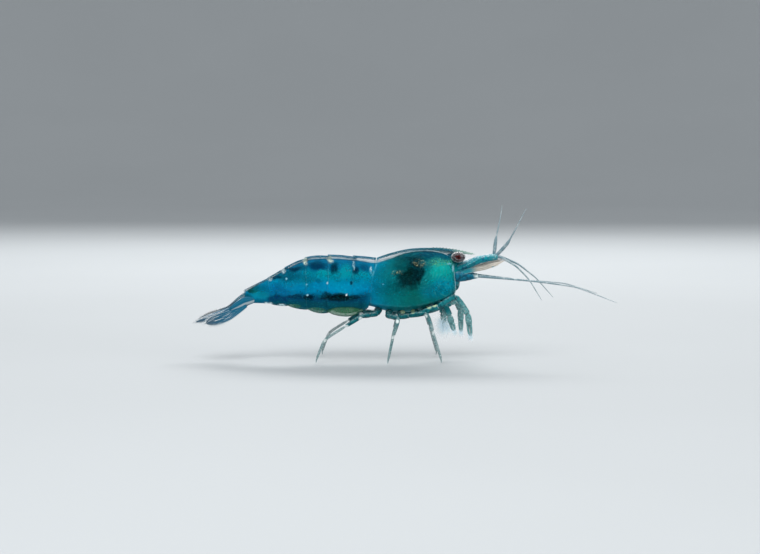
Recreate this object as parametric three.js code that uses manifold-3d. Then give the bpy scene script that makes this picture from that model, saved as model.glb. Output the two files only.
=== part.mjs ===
// A dwarf freshwater shrimp, standing on its six rear legs while its claws pick at the ground in front of it.
// Lengths are in millimetres. In the animal's own frame x = 0 is the rear edge of the carapace, +x points to
// the head, +y to the animal's left, and the feet stand at z = 0. The last lines centre it over its origin.
import * as THREE from "three";
import { mergeVertices } from "three/addons/utils/BufferGeometryUtils.js";
import Module from "manifold-3d";

const wasm = await Module();
wasm.setup();

// ---- Driving dimensions ----

const GAP = 0.1; // free space between two pieces that meet
const THIN = 0.25; // half the thickness of a blade, or the radius of a feeler
const EYE = { radius: 0.66, x: 8.66, y: 1.16, z: 10.04 };
const FLARE = 0.035; // how much wider a tergite is at its rear edge than at its front edge
const LOBES = [0.24, 0.5, 0.36, 0.26, 0.18]; // how far each tergite's side plates hang below their corners
const NOTCH = 1.3; // depth of the open channel under the body, between the side plates

// The body's side view, from the tail forwards: where its back and its underside are, and its half width.
const ABDOMEN = [
  { back: [-12.2, 6.72], belly: [-11.85, 5.62], halfWidth: 0.62 }, // rear end of the sixth tergite
  { back: [-9.7, 8.0], belly: [-9.3, 5.6], halfWidth: 1.08 }, // sixth meets fifth
  { back: [-8.15, 8.82], belly: [-7.7, 5.5], halfWidth: 1.48 }, // fifth meets fourth
  { back: [-6.1, 9.68], belly: [-5.65, 5.18], halfWidth: 1.82 }, // fourth meets third
  { back: [-3.8, 10.03], belly: [-3.65, 4.98], halfWidth: 2.02 }, // third meets second
  { back: [-1.35, 9.9], belly: [-1.45, 4.95], halfWidth: 2.08 }, // second meets first
  { back: [0.62, 9.72], belly: [-0.05, 5.38], halfWidth: 2.02 }, // first meets the carapace
];
const CARAPACE = [
  { back: [0.72, 9.75], belly: [0.08, 5.62], halfWidth: 2.02 }, // rear edge
  { back: [2.1, 10.28], belly: [1.9, 5.36], halfWidth: 2.18 },
  { back: [3.8, 10.84], belly: [3.65, 5.3], halfWidth: 2.28 }, // over the walking legs
  { back: [5.5, 11.0], belly: [5.45, 5.58], halfWidth: 2.22 },
  { back: [7.0, 10.95], belly: [7.2, 6.12], halfWidth: 1.9 },
  { back: [7.9, 10.82], belly: [8.25, 6.86], halfWidth: 1.5 }, // behind the eyes
  { back: [8.15, 10.7], belly: [8.55, 7.75], halfWidth: 1.05 }, // front edge
];
const ROSTRUM = { root: 6.2, tip: 10.35, tipHeight: 10.4, depth: 0.5, teeth: 7, toothHeight: 0.14 };
const STERNUM = { from: 0.05, length: 0.72, rise: 0.57, halfHeight: 0.45, halfWidth: 0.82 }; // over the legs
const HEAD = { rear: 8.6, front: 9.06, low: 7.7, high: 9.3, halfWidth: 0.86 };

// ---- Materials ----

const SHELL = { color: 0x0a6f96, roughness: 0.28, metalness: 0 };
const FLESH = { color: 0x0b5f78, roughness: 0.45, metalness: 0 };
const LIMB = { color: 0x1c7d86, roughness: 0.3, metalness: 0 };
const FAN = { color: 0x6fa3b5, roughness: 0.35, metalness: 0 };
const FEELER = { color: 0x8fa5a8, roughness: 0.4, metalness: 0 };
const EYEBALL = { color: 0x3a1414, roughness: 0.15, metalness: 0 };

// ---- Shaping ----

/**
 * A closed solid with a flat end at each end, made of sections that are placed one by one.
 * place(along, angle, out) gives the point at a share `along` the length and at an angle round the section,
 * on its middle (out = 0) or on its edge (out = 1).
 */
function shaped(place, sides, steps) {
  const form = new THREE.CylinderGeometry(1, 1, 1, sides, steps);
  const points = form.getAttribute("position");
  for (let i = 0; i < points.count; i += 1) {
    const out = Math.round(Math.hypot(points.getX(i), points.getZ(i)));
    const angle = Math.atan2(points.getX(i), points.getZ(i));
    points.setXYZ(i, ...place(0.5 - points.getY(i), out ? angle : 0, out).toArray());
  }
  form.computeVertexNormals();
  return form;
}

/** The solid of manifold-3d that a geometry encloses. */
function solidOf(geometry) {
  const bare = geometry.index ? geometry.toNonIndexed() : geometry.clone();
  bare.deleteAttribute("normal");
  bare.deleteAttribute("uv");
  const merged = mergeVertices(bare, 1e-4);
  const vertProperties = new Float32Array(merged.getAttribute("position").array);
  const triVerts = new Uint32Array(merged.index.array);
  return new wasm.Manifold(new wasm.Mesh({ numProp: 3, vertProperties, triVerts }));
}

/** A geometry with the surface of a solid of manifold-3d. */
function geometryOf(solid) {
  const mesh = solid.getMesh();
  const geometry = new THREE.BufferGeometry();
  geometry.setAttribute("position", new THREE.BufferAttribute(mesh.vertProperties, 3));
  geometry.setIndex(new THREE.BufferAttribute(mesh.triVerts, 1));
  geometry.computeVertexNormals();
  return geometry;
}

/** Smooth lines through the stations, along the back and the underside. Their y is the half width. */
function profileOf(stations) {
  const line = (edge) =>
    new THREE.CatmullRomCurve3(
      stations.map((s) => new THREE.Vector3(s[edge][0], s.halfWidth, s[edge][1])),
      false,
      "centripetal",
    );
  return { back: line("back"), belly: line("belly") };
}

/** The point of a body section at a share `along` its profile. `across` and `up` are shares from -1 to 1. */
function onSection(profile, along, across, up) {
  const back = profile.back.getPoint(along);
  const belly = profile.belly.getPoint(along);
  const mid = back.clone().add(belly).multiplyScalar(0.5);
  const half = back.clone().sub(belly).multiplyScalar(0.5);
  return new THREE.Vector3(mid.x + half.x * up, across * back.y, mid.z + half.z * up);
}

const WALL_SHARE = 0.7; // of each half turn of an arch outline, how much is the outer wall
const WALL_TURN = THREE.MathUtils.degToRad(125); // how far the outer wall turns, from the top to its lower edge
const BOXY = 0.8; // the power that fills out an ellipse's shoulders

/**
 * The outline of the body where plates hang down both sides of it: an outer wall of most of an ellipse, and then
 * a channel under the body. Returns [across, up] as shares. lobe and notch are shares of the half height too,
 * and `wall` is the side plate's thickness as a share of the half width.
 */
function archOutline(angle, lobe, notch, wall) {
  const turn = Math.abs(angle) / Math.PI;
  const side = Math.sign(angle);
  const edge = Math.sin(WALL_TURN) ** BOXY;
  if (turn <= WALL_SHARE + 1e-6) {
    const bend = (turn / WALL_SHARE) * WALL_TURN;
    const up = Math.cos(bend);
    return [side * Math.sin(bend) ** BOXY, up > 0 ? up : (up / -Math.cos(WALL_TURN)) * (1 + lobe)];
  }
  const inside = (turn - WALL_SHARE) / (1 - WALL_SHARE);
  const across = (edge - wall) * Math.sqrt(Math.max(0, 1 - inside ** 2.5));
  return [side * across, -1 + notch * Math.sin((inside * Math.PI) / 2) ** 0.8];
}

/** The outline of a plain boxy ellipse, as [across, up] shares. */
function roundOutline(angle) {
  const swell = (value) => Math.sign(value) * Math.abs(value) ** BOXY;
  return [swell(Math.sin(angle)), swell(Math.cos(angle))];
}

/** A smooth line through points given as [x, y, z]. */
const route = (...points) =>
  new THREE.CatmullRomCurve3(
    points.map((p) => new THREE.Vector3(...p)),
    false,
    "catmullrom",
    0.25,
  );

/** A number read off a list at a share of its length, in straight steps. */
function readAt(values, share) {
  const place = share * (values.length - 1);
  const i = Math.min(Math.floor(place), values.length - 2);
  return THREE.MathUtils.lerp(values[i], values[i + 1], place - i);
}

/** A round limb along a line. Its radii are spread evenly from root to tip, and a foot ends flat. */
function limb(line, radii, { sides = 6, steps = 12, foot = false } = {}) {
  const frames = line.computeFrenetFrames(steps, false);
  const down = new THREE.Vector3(0, 0, -1);
  return shaped(
    (along, angle, out) => {
      const i = Math.round(along * steps);
      const across = frames.normals[i].clone();
      const up = frames.binormals[i].clone();
      if (foot && i === steps) {
        across.setZ(0).normalize();
        up.crossVectors(down, across);
      }
      const reach = readAt(radii, along) * out;
      across.multiplyScalar(Math.sin(angle) * reach);
      up.multiplyScalar(Math.cos(angle) * reach);
      return line.getPointAt(along).add(across).add(up);
    },
    sides,
    steps,
  );
}

/** A blade along a line. `side` points across it, and its half widths are spread evenly from root to tip. */
function blade(line, side, halfWidths, { thin = THIN, sides = 8, steps = 6 } = {}) {
  return shaped(
    (along, angle, out) => {
      const ahead = line.getTangentAt(along);
      const across = side.clone().addScaledVector(ahead, -side.dot(ahead)).normalize();
      const up = ahead.clone().cross(across);
      across.multiplyScalar(Math.sin(angle) * readAt(halfWidths, along) * out);
      up.multiplyScalar(Math.cos(angle) * thin * out);
      return line.getPointAt(along).add(across).add(up);
    },
    sides,
    steps,
  );
}

const shrimp = new THREE.Group();
const animal = new THREE.Group();
shrimp.add(animal);

/** Adds one named piece to the animal, in a material of its own. */
function add(name, geometry, look) {
  const mesh = new THREE.Mesh(geometry, new THREE.MeshStandardMaterial(look));
  mesh.name = name;
  animal.add(mesh);
}

/** Runs a maker for both sides: `hand` is 1 on the left and -1 on the right. */
function bothSides(make) {
  make("left", 1);
  make("right", -1);
}

// ---- Tail: six tergites, the telson and two pairs of tail-fan blades ----

const tail = profileOf(ABDOMEN);

/** Tergite `number`, counted from the carapace. All but the last have side plates over the swimming legs. */
function tergite(number) {
  const joints = ABDOMEN.length - 1;
  const rear = (joints - number) / joints;
  const trim = (along) => GAP / 2 / tail.back.getTangent(along).length() / tail.back.getLength();
  const start = number === joints ? 0 : rear + trim(rear);
  const end = rear + 1 / joints - trim(rear);
  const wide = (along) => 1 + FLARE * (1 - along);
  return shaped(
    (along, angle, out) => {
      const share = start + (end - start) * along;
      const profile = onSection(tail, share, 0, 1).z - onSection(tail, share, 0, -1).z;
      const lobe = (((LOBES[number - 1] ?? 0) * Math.sin(Math.PI * along)) / profile) * 2;
      const wall = Math.min(0.5, 0.3 * tail.back.getPoint(share).y) / tail.back.getPoint(share).y;
      const [across, up] =
        number === joints ? roundOutline(angle) : archOutline(angle, lobe, (NOTCH / profile) * 2, wall);
      const grown = wide(along) * out;
      return onSection(tail, share, across * grown, (up > 0 ? up * wide(along) : up) * out);
    },
    20,
    number === joints ? 6 : 5,
  );
}

for (let number = 1; number < ABDOMEN.length; number += 1) add(`tergite_${number}`, tergite(number), SHELL);

const level = new THREE.Vector3(0, 1, 0);

/** The direction out to one side, turned down by some degrees. */
function sideways(hand, degrees) {
  return level.clone().applyAxisAngle(new THREE.Vector3(1, 0, 0), -hand * THREE.MathUtils.degToRad(degrees));
}

const telsonLine = route([-12.42, 0, 6.12], [-13.9, 0, 5.2], [-16.1, 0, 4.3]);
add("telson", blade(telsonLine, level, [0.42, 0.42, 0.24]), FAN);

bothSides((name, hand) => {
  const inner = route([-12.32, hand * 0.45, 5.58], [-14.1, hand * 0.85, 4.62], [-16.85, hand * 1.05, 3.72]);
  const outer = route([-12.15, hand * 1.0, 5.12], [-13.9, hand * 1.74, 3.95], [-16.45, hand * 2.3, 3.2]);
  add(`fan_inner_${name}`, blade(inner, sideways(hand, 16), [0.24, 0.38, 0.46, 0.24]), FAN);
  add(`fan_outer_${name}`, blade(outer, sideways(hand, 48), [0.24, 0.5, 0.62, 0.3]), FAN);
});

// ---- Carapace with its rostrum, head front, thorax underside and mouthparts ----

const chest = profileOf(CARAPACE);

/** The rostrum: a blade on the mid line with a row of teeth along its upper edge. */
function rostrum() {
  const { root, tip, tipHeight, depth, teeth, toothHeight } = ROSTRUM;
  const upper = (x) => tipHeight + 0.72 * Math.cos(((x - root) / (tip - root)) * (Math.PI / 2)) ** 0.9;
  const outline = new THREE.Shape();
  outline.moveTo(root, 10.2);
  outline.lineTo(root, upper(root) - toothHeight);
  const pitch = (tip - root) / (teeth + 1);
  for (let i = 0; i < teeth; i += 1) {
    const x = root + pitch * (i + 0.5);
    outline.lineTo(x, upper(x) - toothHeight);
    outline.lineTo(x + 0.75 * pitch, upper(x + 0.75 * pitch));
  }
  outline.lineTo(tip, tipHeight);
  outline.quadraticCurveTo(tip - 1.2, tipHeight - depth * 0.75, 8.1, 10.05);
  const plate = new THREE.ExtrudeGeometry(outline, { depth: 2 * THIN, bevelEnabled: false, curveSegments: 4 });
  return plate.rotateX(Math.PI / 2).translate(0, THIN, 0);
}

/** The carapace: an arched shell whose front is hollowed for the eyes. */
function carapace() {
  const shell = shaped(
    (along, angle, out) => {
      const height = onSection(chest, along, 0, 1).z - onSection(chest, along, 0, -1).z;
      const halfWidth = chest.back.getPoint(along).y;
      const [across, up] = archOutline(angle, 0, (NOTCH / height) * 2, 0.5 / halfWidth);
      return onSection(chest, along, across * out, up * out);
    },
    20,
    20,
  );
  let solid = solidOf(shell).add(solidOf(rostrum()));
  for (const hand of [1, -1]) {
    const socket = new THREE.SphereGeometry(EYE.radius + GAP, 16, 12);
    solid = solid.subtract(solidOf(socket.translate(EYE.x, hand * EYE.y, EYE.z)));
  }
  return geometryOf(solid);
}
add("carapace", carapace(), SHELL);

/** The underside of the thorax, which fills the channel under the carapace and carries the legs. */
function thorax() {
  return shaped(
    (along, angle, out) => {
      const low = chest.belly.getPoint(STERNUM.from + STERNUM.length * along);
      const [across, up] = roundOutline(angle);
      const { rise, halfHeight, halfWidth } = STERNUM;
      return new THREE.Vector3(low.x, across * halfWidth * out, low.z + rise + halfHeight * up * out);
    },
    10,
    8,
  );
}
add("thorax", thorax(), FLESH);

/** The front of the head, between the carapace and the feelers. */
function headFront() {
  const { rear, front, low, high, halfWidth } = HEAD;
  return shaped(
    (along, angle, out) => {
      const [across, up] = roundOutline(angle);
      const x = rear + (front - rear) * along;
      return new THREE.Vector3(x, across * halfWidth * out, (low + high) / 2 + ((high - low) / 2) * up * out);
    },
    12,
    1,
  );
}
add("head_front", headFront(), FLESH);
const mouthLine = route([8.03, 0, 6.32], [8.46, 0, 6.7], [8.8, 0, 7.1]);
add("mouthparts", limb(mouthLine, [0.3, 0.42, 0.36, 0.2], { steps: 4 }), FLESH);

// ---- Eyes and feelers ----

bothSides((name, hand) => {
  const ball = new THREE.SphereGeometry(EYE.radius, 12, 9);
  add(`eye_${name}`, ball.translate(EYE.x, hand * EYE.y, EYE.z), EYEBALL);
  const stalkLine = route([8.86, hand * 0.34, 9.72], [8.82, hand * 0.7, 9.86], [EYE.x, hand * EYE.y, EYE.z]);
  const around = new THREE.SphereGeometry(EYE.radius + GAP, 16, 12).translate(EYE.x, hand * EYE.y, EYE.z);
  const stalk = solidOf(limb(stalkLine, [0.26, 0.36, 0.4], { sides: 8, steps: 4 })).subtract(solidOf(around));
  add(`eyestalk_${name}`, geometryOf(stalk), FLESH);
});

bothSides((name, hand) => {
  const stem = route([9.18, hand * 0.46, 9.1], [10.7, hand * 0.5, 9.82], [12.5, hand * 0.56, 10.15]);
  add(`antennule_${name}`, limb(stem, [0.34, 0.4, 0.38, 0.36, 0.3], { sides: 8, steps: 8 }), LIMB);
  const broad = route([9.18, hand * 0.62, 8.2], [9.8, hand * 0.88, 8.24], [10.42, hand * 1.04, 8.28]);
  add(`antenna_base_${name}`, limb(broad, [0.44, 0.42, 0.3], { sides: 8, steps: 4 }), LIMB);
  const scale = route([9.95, hand * 1.3, 8.92], [11.4, hand * 1.38, 9.2], [13.05, hand * 1.3, 9.72]);
  add(`antenna_scale_${name}`, blade(scale, sideways(hand, 50), [0.24, 0.4, 0.46, 0.42, 0.22]), FAN);
});

// Each feeler's line, from its root to its tip.
const FEELERS = {
  antennule_upper_right: [[12.68, -0.62, 10.62], [13.5, -0.95, 11.6], [14.35, -1.4, 13.2], [15.2, -1.8, 14.95]],
  antennule_upper_left: [[12.26, 0.62, 10.66], [12.42, 0.9, 11.9], [12.8, 1.25, 13.6], [13.05, 1.5, 15.1]],
  antennule_lower_right: [[12.88, -0.62, 10.08], [14.3, -0.85, 9.25], [15.55, -1.2, 7.95], [16.75, -1.6, 6.0]],
  antennule_lower_left: [[12.88, 0.62, 10.1], [14.6, 0.95, 9.35], [16.4, 1.4, 7.95], [18.15, 1.9, 6.0]],
  antenna_right: [[10.7, -1.12, 8.28], [15.6, -2.6, 7.95], [19.8, -4.2, 7.45], [23.6, -6.0, 6.1]],
  antenna_left: [[10.7, 1.12, 8.28], [15.6, 2.7, 7.6], [19.4, 4.7, 7.2], [23.0, 7.0, 6.0]],
};
for (const [name, points] of Object.entries(FEELERS)) {
  add(name, limb(route(...points), [THIN, THIN], { steps: 10 }), FEELER);
}

// ---- Swimming legs, under the first five tergites ----

for (let number = 1; number <= 5; number += 1) {
  const share = 1 - (number - 0.74) / (ABDOMEN.length - 1);
  const belly = tail.belly.getPoint(share);
  bothSides((name, hand) => {
    const y = hand * (THIN + GAP / 2);
    const roof = belly.z + NOTCH - 0.3;
    const line = route([belly.x, y, roof], [belly.x - 0.45, y, roof - 0.7], [belly.x - 1.3, y, roof - 1.3]);
    const paddle = blade(line, new THREE.Vector3(1, 0, 0), [0.26, 0.34, 0.42, 0.2], { steps: 4 });
    add(`swimmer_${number}_${name}`, paddle, FAN);
  });
}

// ---- Mouth legs, claws and walking legs ----

// Each limb's joints, where y is the distance from the mid line, and how much further forward the left one's
// tip is than the right one's. The three rear pairs stand on the ground.
const LIMBS = {
  mouth_leg: {
    joints: [[6.35, 0.5, 5.6], [7.0, 0.72, 5.3], [8.0, 0.78, 5.55], [8.7, 0.72, 5.95]],
    radii: [0.3, 0.3, 0.27, 0.25],
    ahead: 0.1,
  },
  leg_1: {
    joints: [[5.35, 0.55, 5.28], [5.6, 0.95, 4.85], [7.3, 1.5, 5.45], [7.75, 1.62, 4.5], [8.25, 1.55, 2.95]],
    radii: [0.36, 0.34, 0.3, 0.3, 0.34, 0.25],
    ahead: -0.8,
  },
  leg_2: {
    joints: [
      [4.3, 0.55, 5.05], [4.7, 1.2, 4.6], [6.7, 2.3, 5.45],
      [8.35, 2.5, 6.4], [9.5, 2.4, 4.7], [9.8, 2.25, 2.5],
    ],
    radii: [0.36, 0.33, 0.3, 0.28, 0.27, 0.3, 0.25],
    ahead: -0.75,
  },
  leg_3: {
    joints: [
      [3.15, 0.55, 4.96], [3.1, 1.3, 4.35], [5.45, 2.85, 4.75],
      [6.1, 3.3, 3.1], [6.9, 3.7, 0.45], [6.95, 3.72, 0],
    ],
    radii: [0.38, 0.34, 0.3, 0.28, 0.26, 0.25],
    foot: true,
    ahead: -0.35,
  },
  leg_4: {
    joints: [
      [2.05, 0.55, 5.0], [1.8, 1.4, 4.45], [2.75, 3.2, 4.3],
      [2.3, 3.9, 2.75], [1.8, 4.4, 0.45], [1.77, 4.42, 0],
    ],
    radii: [0.38, 0.34, 0.3, 0.28, 0.26, 0.25],
    foot: true,
    ahead: 0.35,
  },
  leg_5: {
    joints: [
      [0.95, 0.55, 5.1], [0.55, 1.25, 4.6], [-0.75, 2.6, 4.5], [-2.3, 3.2, 3.6],
      [-4.3, 3.6, 2.3], [-5.1, 3.75, 0.45], [-5.15, 3.76, 0],
    ],
    radii: [0.38, 0.34, 0.3, 0.28, 0.26, 0.25],
    foot: true,
    ahead: 0.45,
  },
};

/** One limb. Its swing forwards grows from nothing at its root to `ahead` at its tip. */
function jointedLimb({ joints, radii, foot, ahead }, hand) {
  const swing = (i) => (hand > 0 ? ahead * (i / (joints.length - 1)) ** 1.5 : 0);
  const points = joints.map(([x, y, z], i) => [x + swing(i), hand * y, z]);
  return limb(route(...points), radii, { sides: 6, steps: 12, foot });
}

for (const [limbName, form] of Object.entries(LIMBS)) {
  bothSides((name, hand) => add(`${limbName}_${name}`, jointedLimb(form, hand), LIMB));
}

const bounds = new THREE.Box3().setFromObject(animal);
const middle = bounds.getCenter(new THREE.Vector3());
animal.position.set(-middle.x, -middle.y, -bounds.min.z);

export default shrimp;
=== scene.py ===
"""Looks of a life-size model of a blue dwarf shrimp with an arched tail, open tail fan and long feelers.

Lengths are millimetres in the animal's own frame: x = 0 is the rear edge of the carapace, +x points to the
head, +y to the animal's left, and the feet stand at z = 0. Stance turns them into the frame's metres.
"""

import logging
from collections.abc import Sequence
from dataclasses import dataclass, field
from enum import Enum

import bpy
import numpy as np
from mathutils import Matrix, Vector


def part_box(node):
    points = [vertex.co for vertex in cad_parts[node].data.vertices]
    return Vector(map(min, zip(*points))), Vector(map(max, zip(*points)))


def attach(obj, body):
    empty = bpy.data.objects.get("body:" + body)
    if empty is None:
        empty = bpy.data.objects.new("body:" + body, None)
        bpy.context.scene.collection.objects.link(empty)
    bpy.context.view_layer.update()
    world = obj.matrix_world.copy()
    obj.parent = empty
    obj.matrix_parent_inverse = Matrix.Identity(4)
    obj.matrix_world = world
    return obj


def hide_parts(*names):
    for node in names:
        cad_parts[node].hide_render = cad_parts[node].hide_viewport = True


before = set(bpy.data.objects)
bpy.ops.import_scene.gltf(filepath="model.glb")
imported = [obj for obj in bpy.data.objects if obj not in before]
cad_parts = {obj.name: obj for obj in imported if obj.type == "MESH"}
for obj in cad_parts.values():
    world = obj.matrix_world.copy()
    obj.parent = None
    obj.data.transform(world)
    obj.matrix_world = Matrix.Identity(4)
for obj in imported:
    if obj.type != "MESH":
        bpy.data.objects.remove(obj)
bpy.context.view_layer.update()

LOG = logging.getLogger("shrimp")
MM = 0.001  # metres in a millimetre
Array = np.ndarray
Socket = bpy.types.NodeSocket
Value = float | tuple | str | Socket


class Side(Enum):
    """The two sides of the animal, each with the sign of its y."""

    LEFT = 1
    RIGHT = -1

    @property
    def label(self) -> str:
        """The side's name as it stands in the names of nodes and pieces."""
        return self.name.lower()


class Slot(Enum):
    """The record's material slots."""

    SHELL = "shell"
    FLESH = "flesh"
    LIMBS = "limbs"
    FINS = "fins"
    FEELERS = "feelers"
    EYES = "eyes"


@dataclass(frozen=True)
class Stance:
    """Where the animal's own origin lies in the frame, in millimetres."""

    x: float
    y: float
    rearmost: float = 0.08  # x of the carapace's rearmost point in the animal's own frame

    @classmethod
    def from_frame(cls) -> "Stance":
        """The stance worked out from the box of the CAD carapace."""
        low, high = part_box("carapace")
        return cls(x=low.x / MM - cls.rearmost, y=(low.y + high.y) / 2 / MM)

    def place(self, points: Array) -> Array:
        """The points in the frame's metres."""
        return (np.asarray(points, float) + (self.x, self.y, 0.0)) * MM


# ---- Surfaces as arrays ----


def unit(vectors: Array) -> Array:
    """The vectors, each divided by its own length."""
    return vectors / np.maximum(np.linalg.norm(vectors, axis=-1, keepdims=True), 1e-12)


def ramp(values: Array, low: float, high: float) -> Array:
    """A smooth step: 3t^2 - 2t^3, where t runs from 0 at low to 1 at high."""
    t = np.clip((values - low) / (high - low), 0.0, 1.0)
    return t * t * (3.0 - 2.0 * t)


def bell(values: Array, middle: float, width: float) -> Array:
    """A bell curve of height 1: the exponential of minus the squared distance in widths."""
    return np.exp(-(((values - middle) / width) ** 2))


def turns(count: int, offset: float = 0.0) -> Array:
    """Angles evenly round a circle, moved on by an offset counted in gaps between them."""
    return (np.arange(count) + offset) / count * 2 * np.pi


def blunt(shares: Array, power: float, least: float = 0.02) -> Array:
    """A profile that is 1 in the middle and closes at both ends: the square root of 1 - |2t - 1|^power."""
    return np.sqrt(np.clip(1 - np.abs(2 * shares - 1) ** power, least, 1))


def grid_points(x: Array, y: Array, z: Array) -> Array:
    """Points from their x, y and z, each spread over the same grid."""
    return np.stack(np.broadcast_arrays(x, y, z), -1)


def hermite(points: Sequence, shares: Array, tension: float = 0.5) -> Array:
    """A smooth line through points or numbers, read at shares of its count of steps.

    Each step is a cubic Hermite curve. Its end slopes are tension times the gap between the two neighbours.

    Args:
        points: Two or more numbers or points.
        shares: Places from 0 at the first point to 1 at the last.
        tension: Share of the neighbours' gap that a slope takes.

    Returns:
        The numbers or points at those places.
    """
    known = np.asarray(points, float)
    padded = np.concatenate([[2 * known[0] - known[1]], known, [2 * known[-1] - known[-2]]])
    place = np.clip(shares, 0.0, 1.0) * (len(known) - 1)
    step = np.minimum(place.astype(int), len(known) - 2)
    t = (place - step).reshape(place.shape + (1,) * (known.ndim - 1))
    start, end = padded[step + 1], padded[step + 2]
    leave, arrive = tension * (end - padded[step]), tension * (padded[step + 3] - start)
    cubic, square = t**3, t**2
    return (
        (2 * cubic - 3 * square + 1) * start
        + (cubic - 2 * square + t) * leave
        + (3 * square - 2 * cubic) * end
        + (cubic - square) * arrive
    )


TAUT = 0.25  # the tension of the lines that limbs and blades follow
FINE = 60  # points that such a line is read at, for each point given


def traced(points: Sequence) -> tuple[Array, Array]:
    """A dense, fairly taut line through points, and how far along it each of its own points lies."""
    dense = hermite(points, np.linspace(0.0, 1.0, FINE * len(points)), TAUT)
    return dense, np.concatenate([[0.0], np.cumsum(np.linalg.norm(np.diff(dense, axis=0), axis=1))])


def route(points: Sequence, shares: Array) -> Array:
    """The points at shares of the length of a smooth line through some points."""
    dense, run = traced(points)
    return np.stack([np.interp(shares * run[-1], run, axis) for axis in dense.T], axis=1)


def joint_shares(points: Sequence) -> Array:
    """The shares of its length at which a route passes its own points.

    Args:
        points: The route's points.

    Returns:
        One share for each point.
    """
    dense, run = traced(points)
    count = len(points) - 1
    places = np.round(np.arange(count + 1) / count * (len(dense) - 1)).astype(int)
    return run[places] / run[-1]


def frames(path: Array, lean: Sequence) -> tuple[Array, Array, Array]:
    """Directions along, across and up at each point of a path.

    Across is lean without its part along the path, and up is along times across.

    Args:
        path: Points of the path.
        lean: The direction that across leans to.

    Returns:
        The three unit directions, one row for each point.
    """
    ahead = unit(np.gradient(path, axis=0))
    lean = np.asarray(lean, float)
    across = unit(lean - (ahead @ lean)[:, None] * ahead)
    return ahead, across, np.cross(ahead, across)


@dataclass
class Surface:
    """A closed mesh as arrays.

    A face is a row of four point numbers, and a triangle's fourth number is -1. chart holds two coordinates
    for each corner. patch, where there is one, holds each corner's place on the unwrap of the skin below it.
    """

    points: Array
    faces: Array
    chart: Array
    patch: Array | None = None

    def facing_out(self) -> "Surface":
        """Turns the faces so that the volume that they enclose is positive.

        Returns:
            This surface.
        """
        three_sided = self.faces[:, 3] < 0
        a, b, c = (self.points[self.faces[:, i]] for i in range(3))
        d = self.points[np.where(three_sided, self.faces[:, 2], self.faces[:, 3])]
        volume = (a * (np.cross(b, c) + np.cross(c, d))).sum()
        if volume > 0:
            return self
        order = np.where(three_sided[:, None], [2, 1, 0, 3], [3, 2, 1, 0])
        self.faces = np.take_along_axis(self.faces, order, 1)
        self.chart = np.take_along_axis(self.chart, order[:, :, None], 1)
        if self.patch is not None:
            self.patch = np.take_along_axis(self.patch, order[:, :, None], 1)
        return self


def join(surfaces: Sequence[Surface]) -> Surface:
    """Several surfaces as one, with the point numbers of each moved past those before it.

    Args:
        surfaces: The surfaces. All of them have a patch, or none.

    Returns:
        The joined surface.
    """
    starts = np.cumsum([0] + [len(s.points) for s in surfaces[:-1]])
    faces = [np.where(s.faces < 0, -1, s.faces + start) for s, start in zip(surfaces, starts)]
    patches = None if surfaces[0].patch is None else np.concatenate([s.patch for s in surfaces])
    return Surface(
        np.concatenate([s.points for s in surfaces]),
        np.concatenate(faces),
        np.concatenate([s.chart for s in surfaces]),
        patches,
    )


def mesh_grid(rows: int, columns: int, closed: bool) -> tuple[Array, Array]:
    """The row and the column of each corner of the quads of a grid.

    Args:
        rows: Rows of points.
        columns: Points in a row.
        closed: Whether the last column joins the first one.

    Returns:
        Two arrays with four numbers for each quad. A closed grid's last column is followed by number columns.
    """
    row, column = np.meshgrid(np.arange(rows - 1), np.arange(columns - (not closed)), indexing="ij")
    corner_rows = np.stack([row, row, row + 1, row + 1], -1).reshape(-1, 4)
    corner_columns = np.stack([column, column + 1, column + 1, column], -1).reshape(-1, 4)
    return corner_rows, corner_columns


def tube(rings: Array, along: Array | None = None) -> Surface:
    """A closed surface through rings of points, with a pole at the middle of the first and last ring.

    Args:
        rings: Points as rings x points in a ring x 3.
        along: The first chart coordinate of each ring. It runs from 0 to 1 where it isn't given.

    Returns:
        The surface. Its second chart coordinate runs from 0 to 1 round each ring.
    """
    rows, columns = rings.shape[:2]
    along = np.linspace(0.0, 1.0, rows) if along is None else along
    row, column = mesh_grid(rows, columns, closed=True)
    ring = np.arange(columns)
    following = (ring + 1) % columns
    last = (rows - 1) * columns
    pole = np.full(columns, rows * columns)
    none = np.full(columns, -1)
    first_cap = np.stack([following, ring, pole, none], 1)
    caps = np.concatenate([first_cap, np.stack([last + ring, last + following, pole + 1, none], 1)])
    cap_along = np.repeat([along[0], along[-1]], columns)[:, None] * np.ones((1, 4))
    cap_round = np.tile(ring / columns, 2)[:, None] * np.ones((1, 4))
    return Surface(
        np.concatenate([rings.reshape(-1, 3), [rings[0].mean(0), rings[-1].mean(0)]]),
        np.concatenate([row * columns + column % columns, caps]),
        np.concatenate([np.stack([along[row], column / columns], -1), np.stack([cap_along, cap_round], -1)]),
    ).facing_out()


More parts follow.
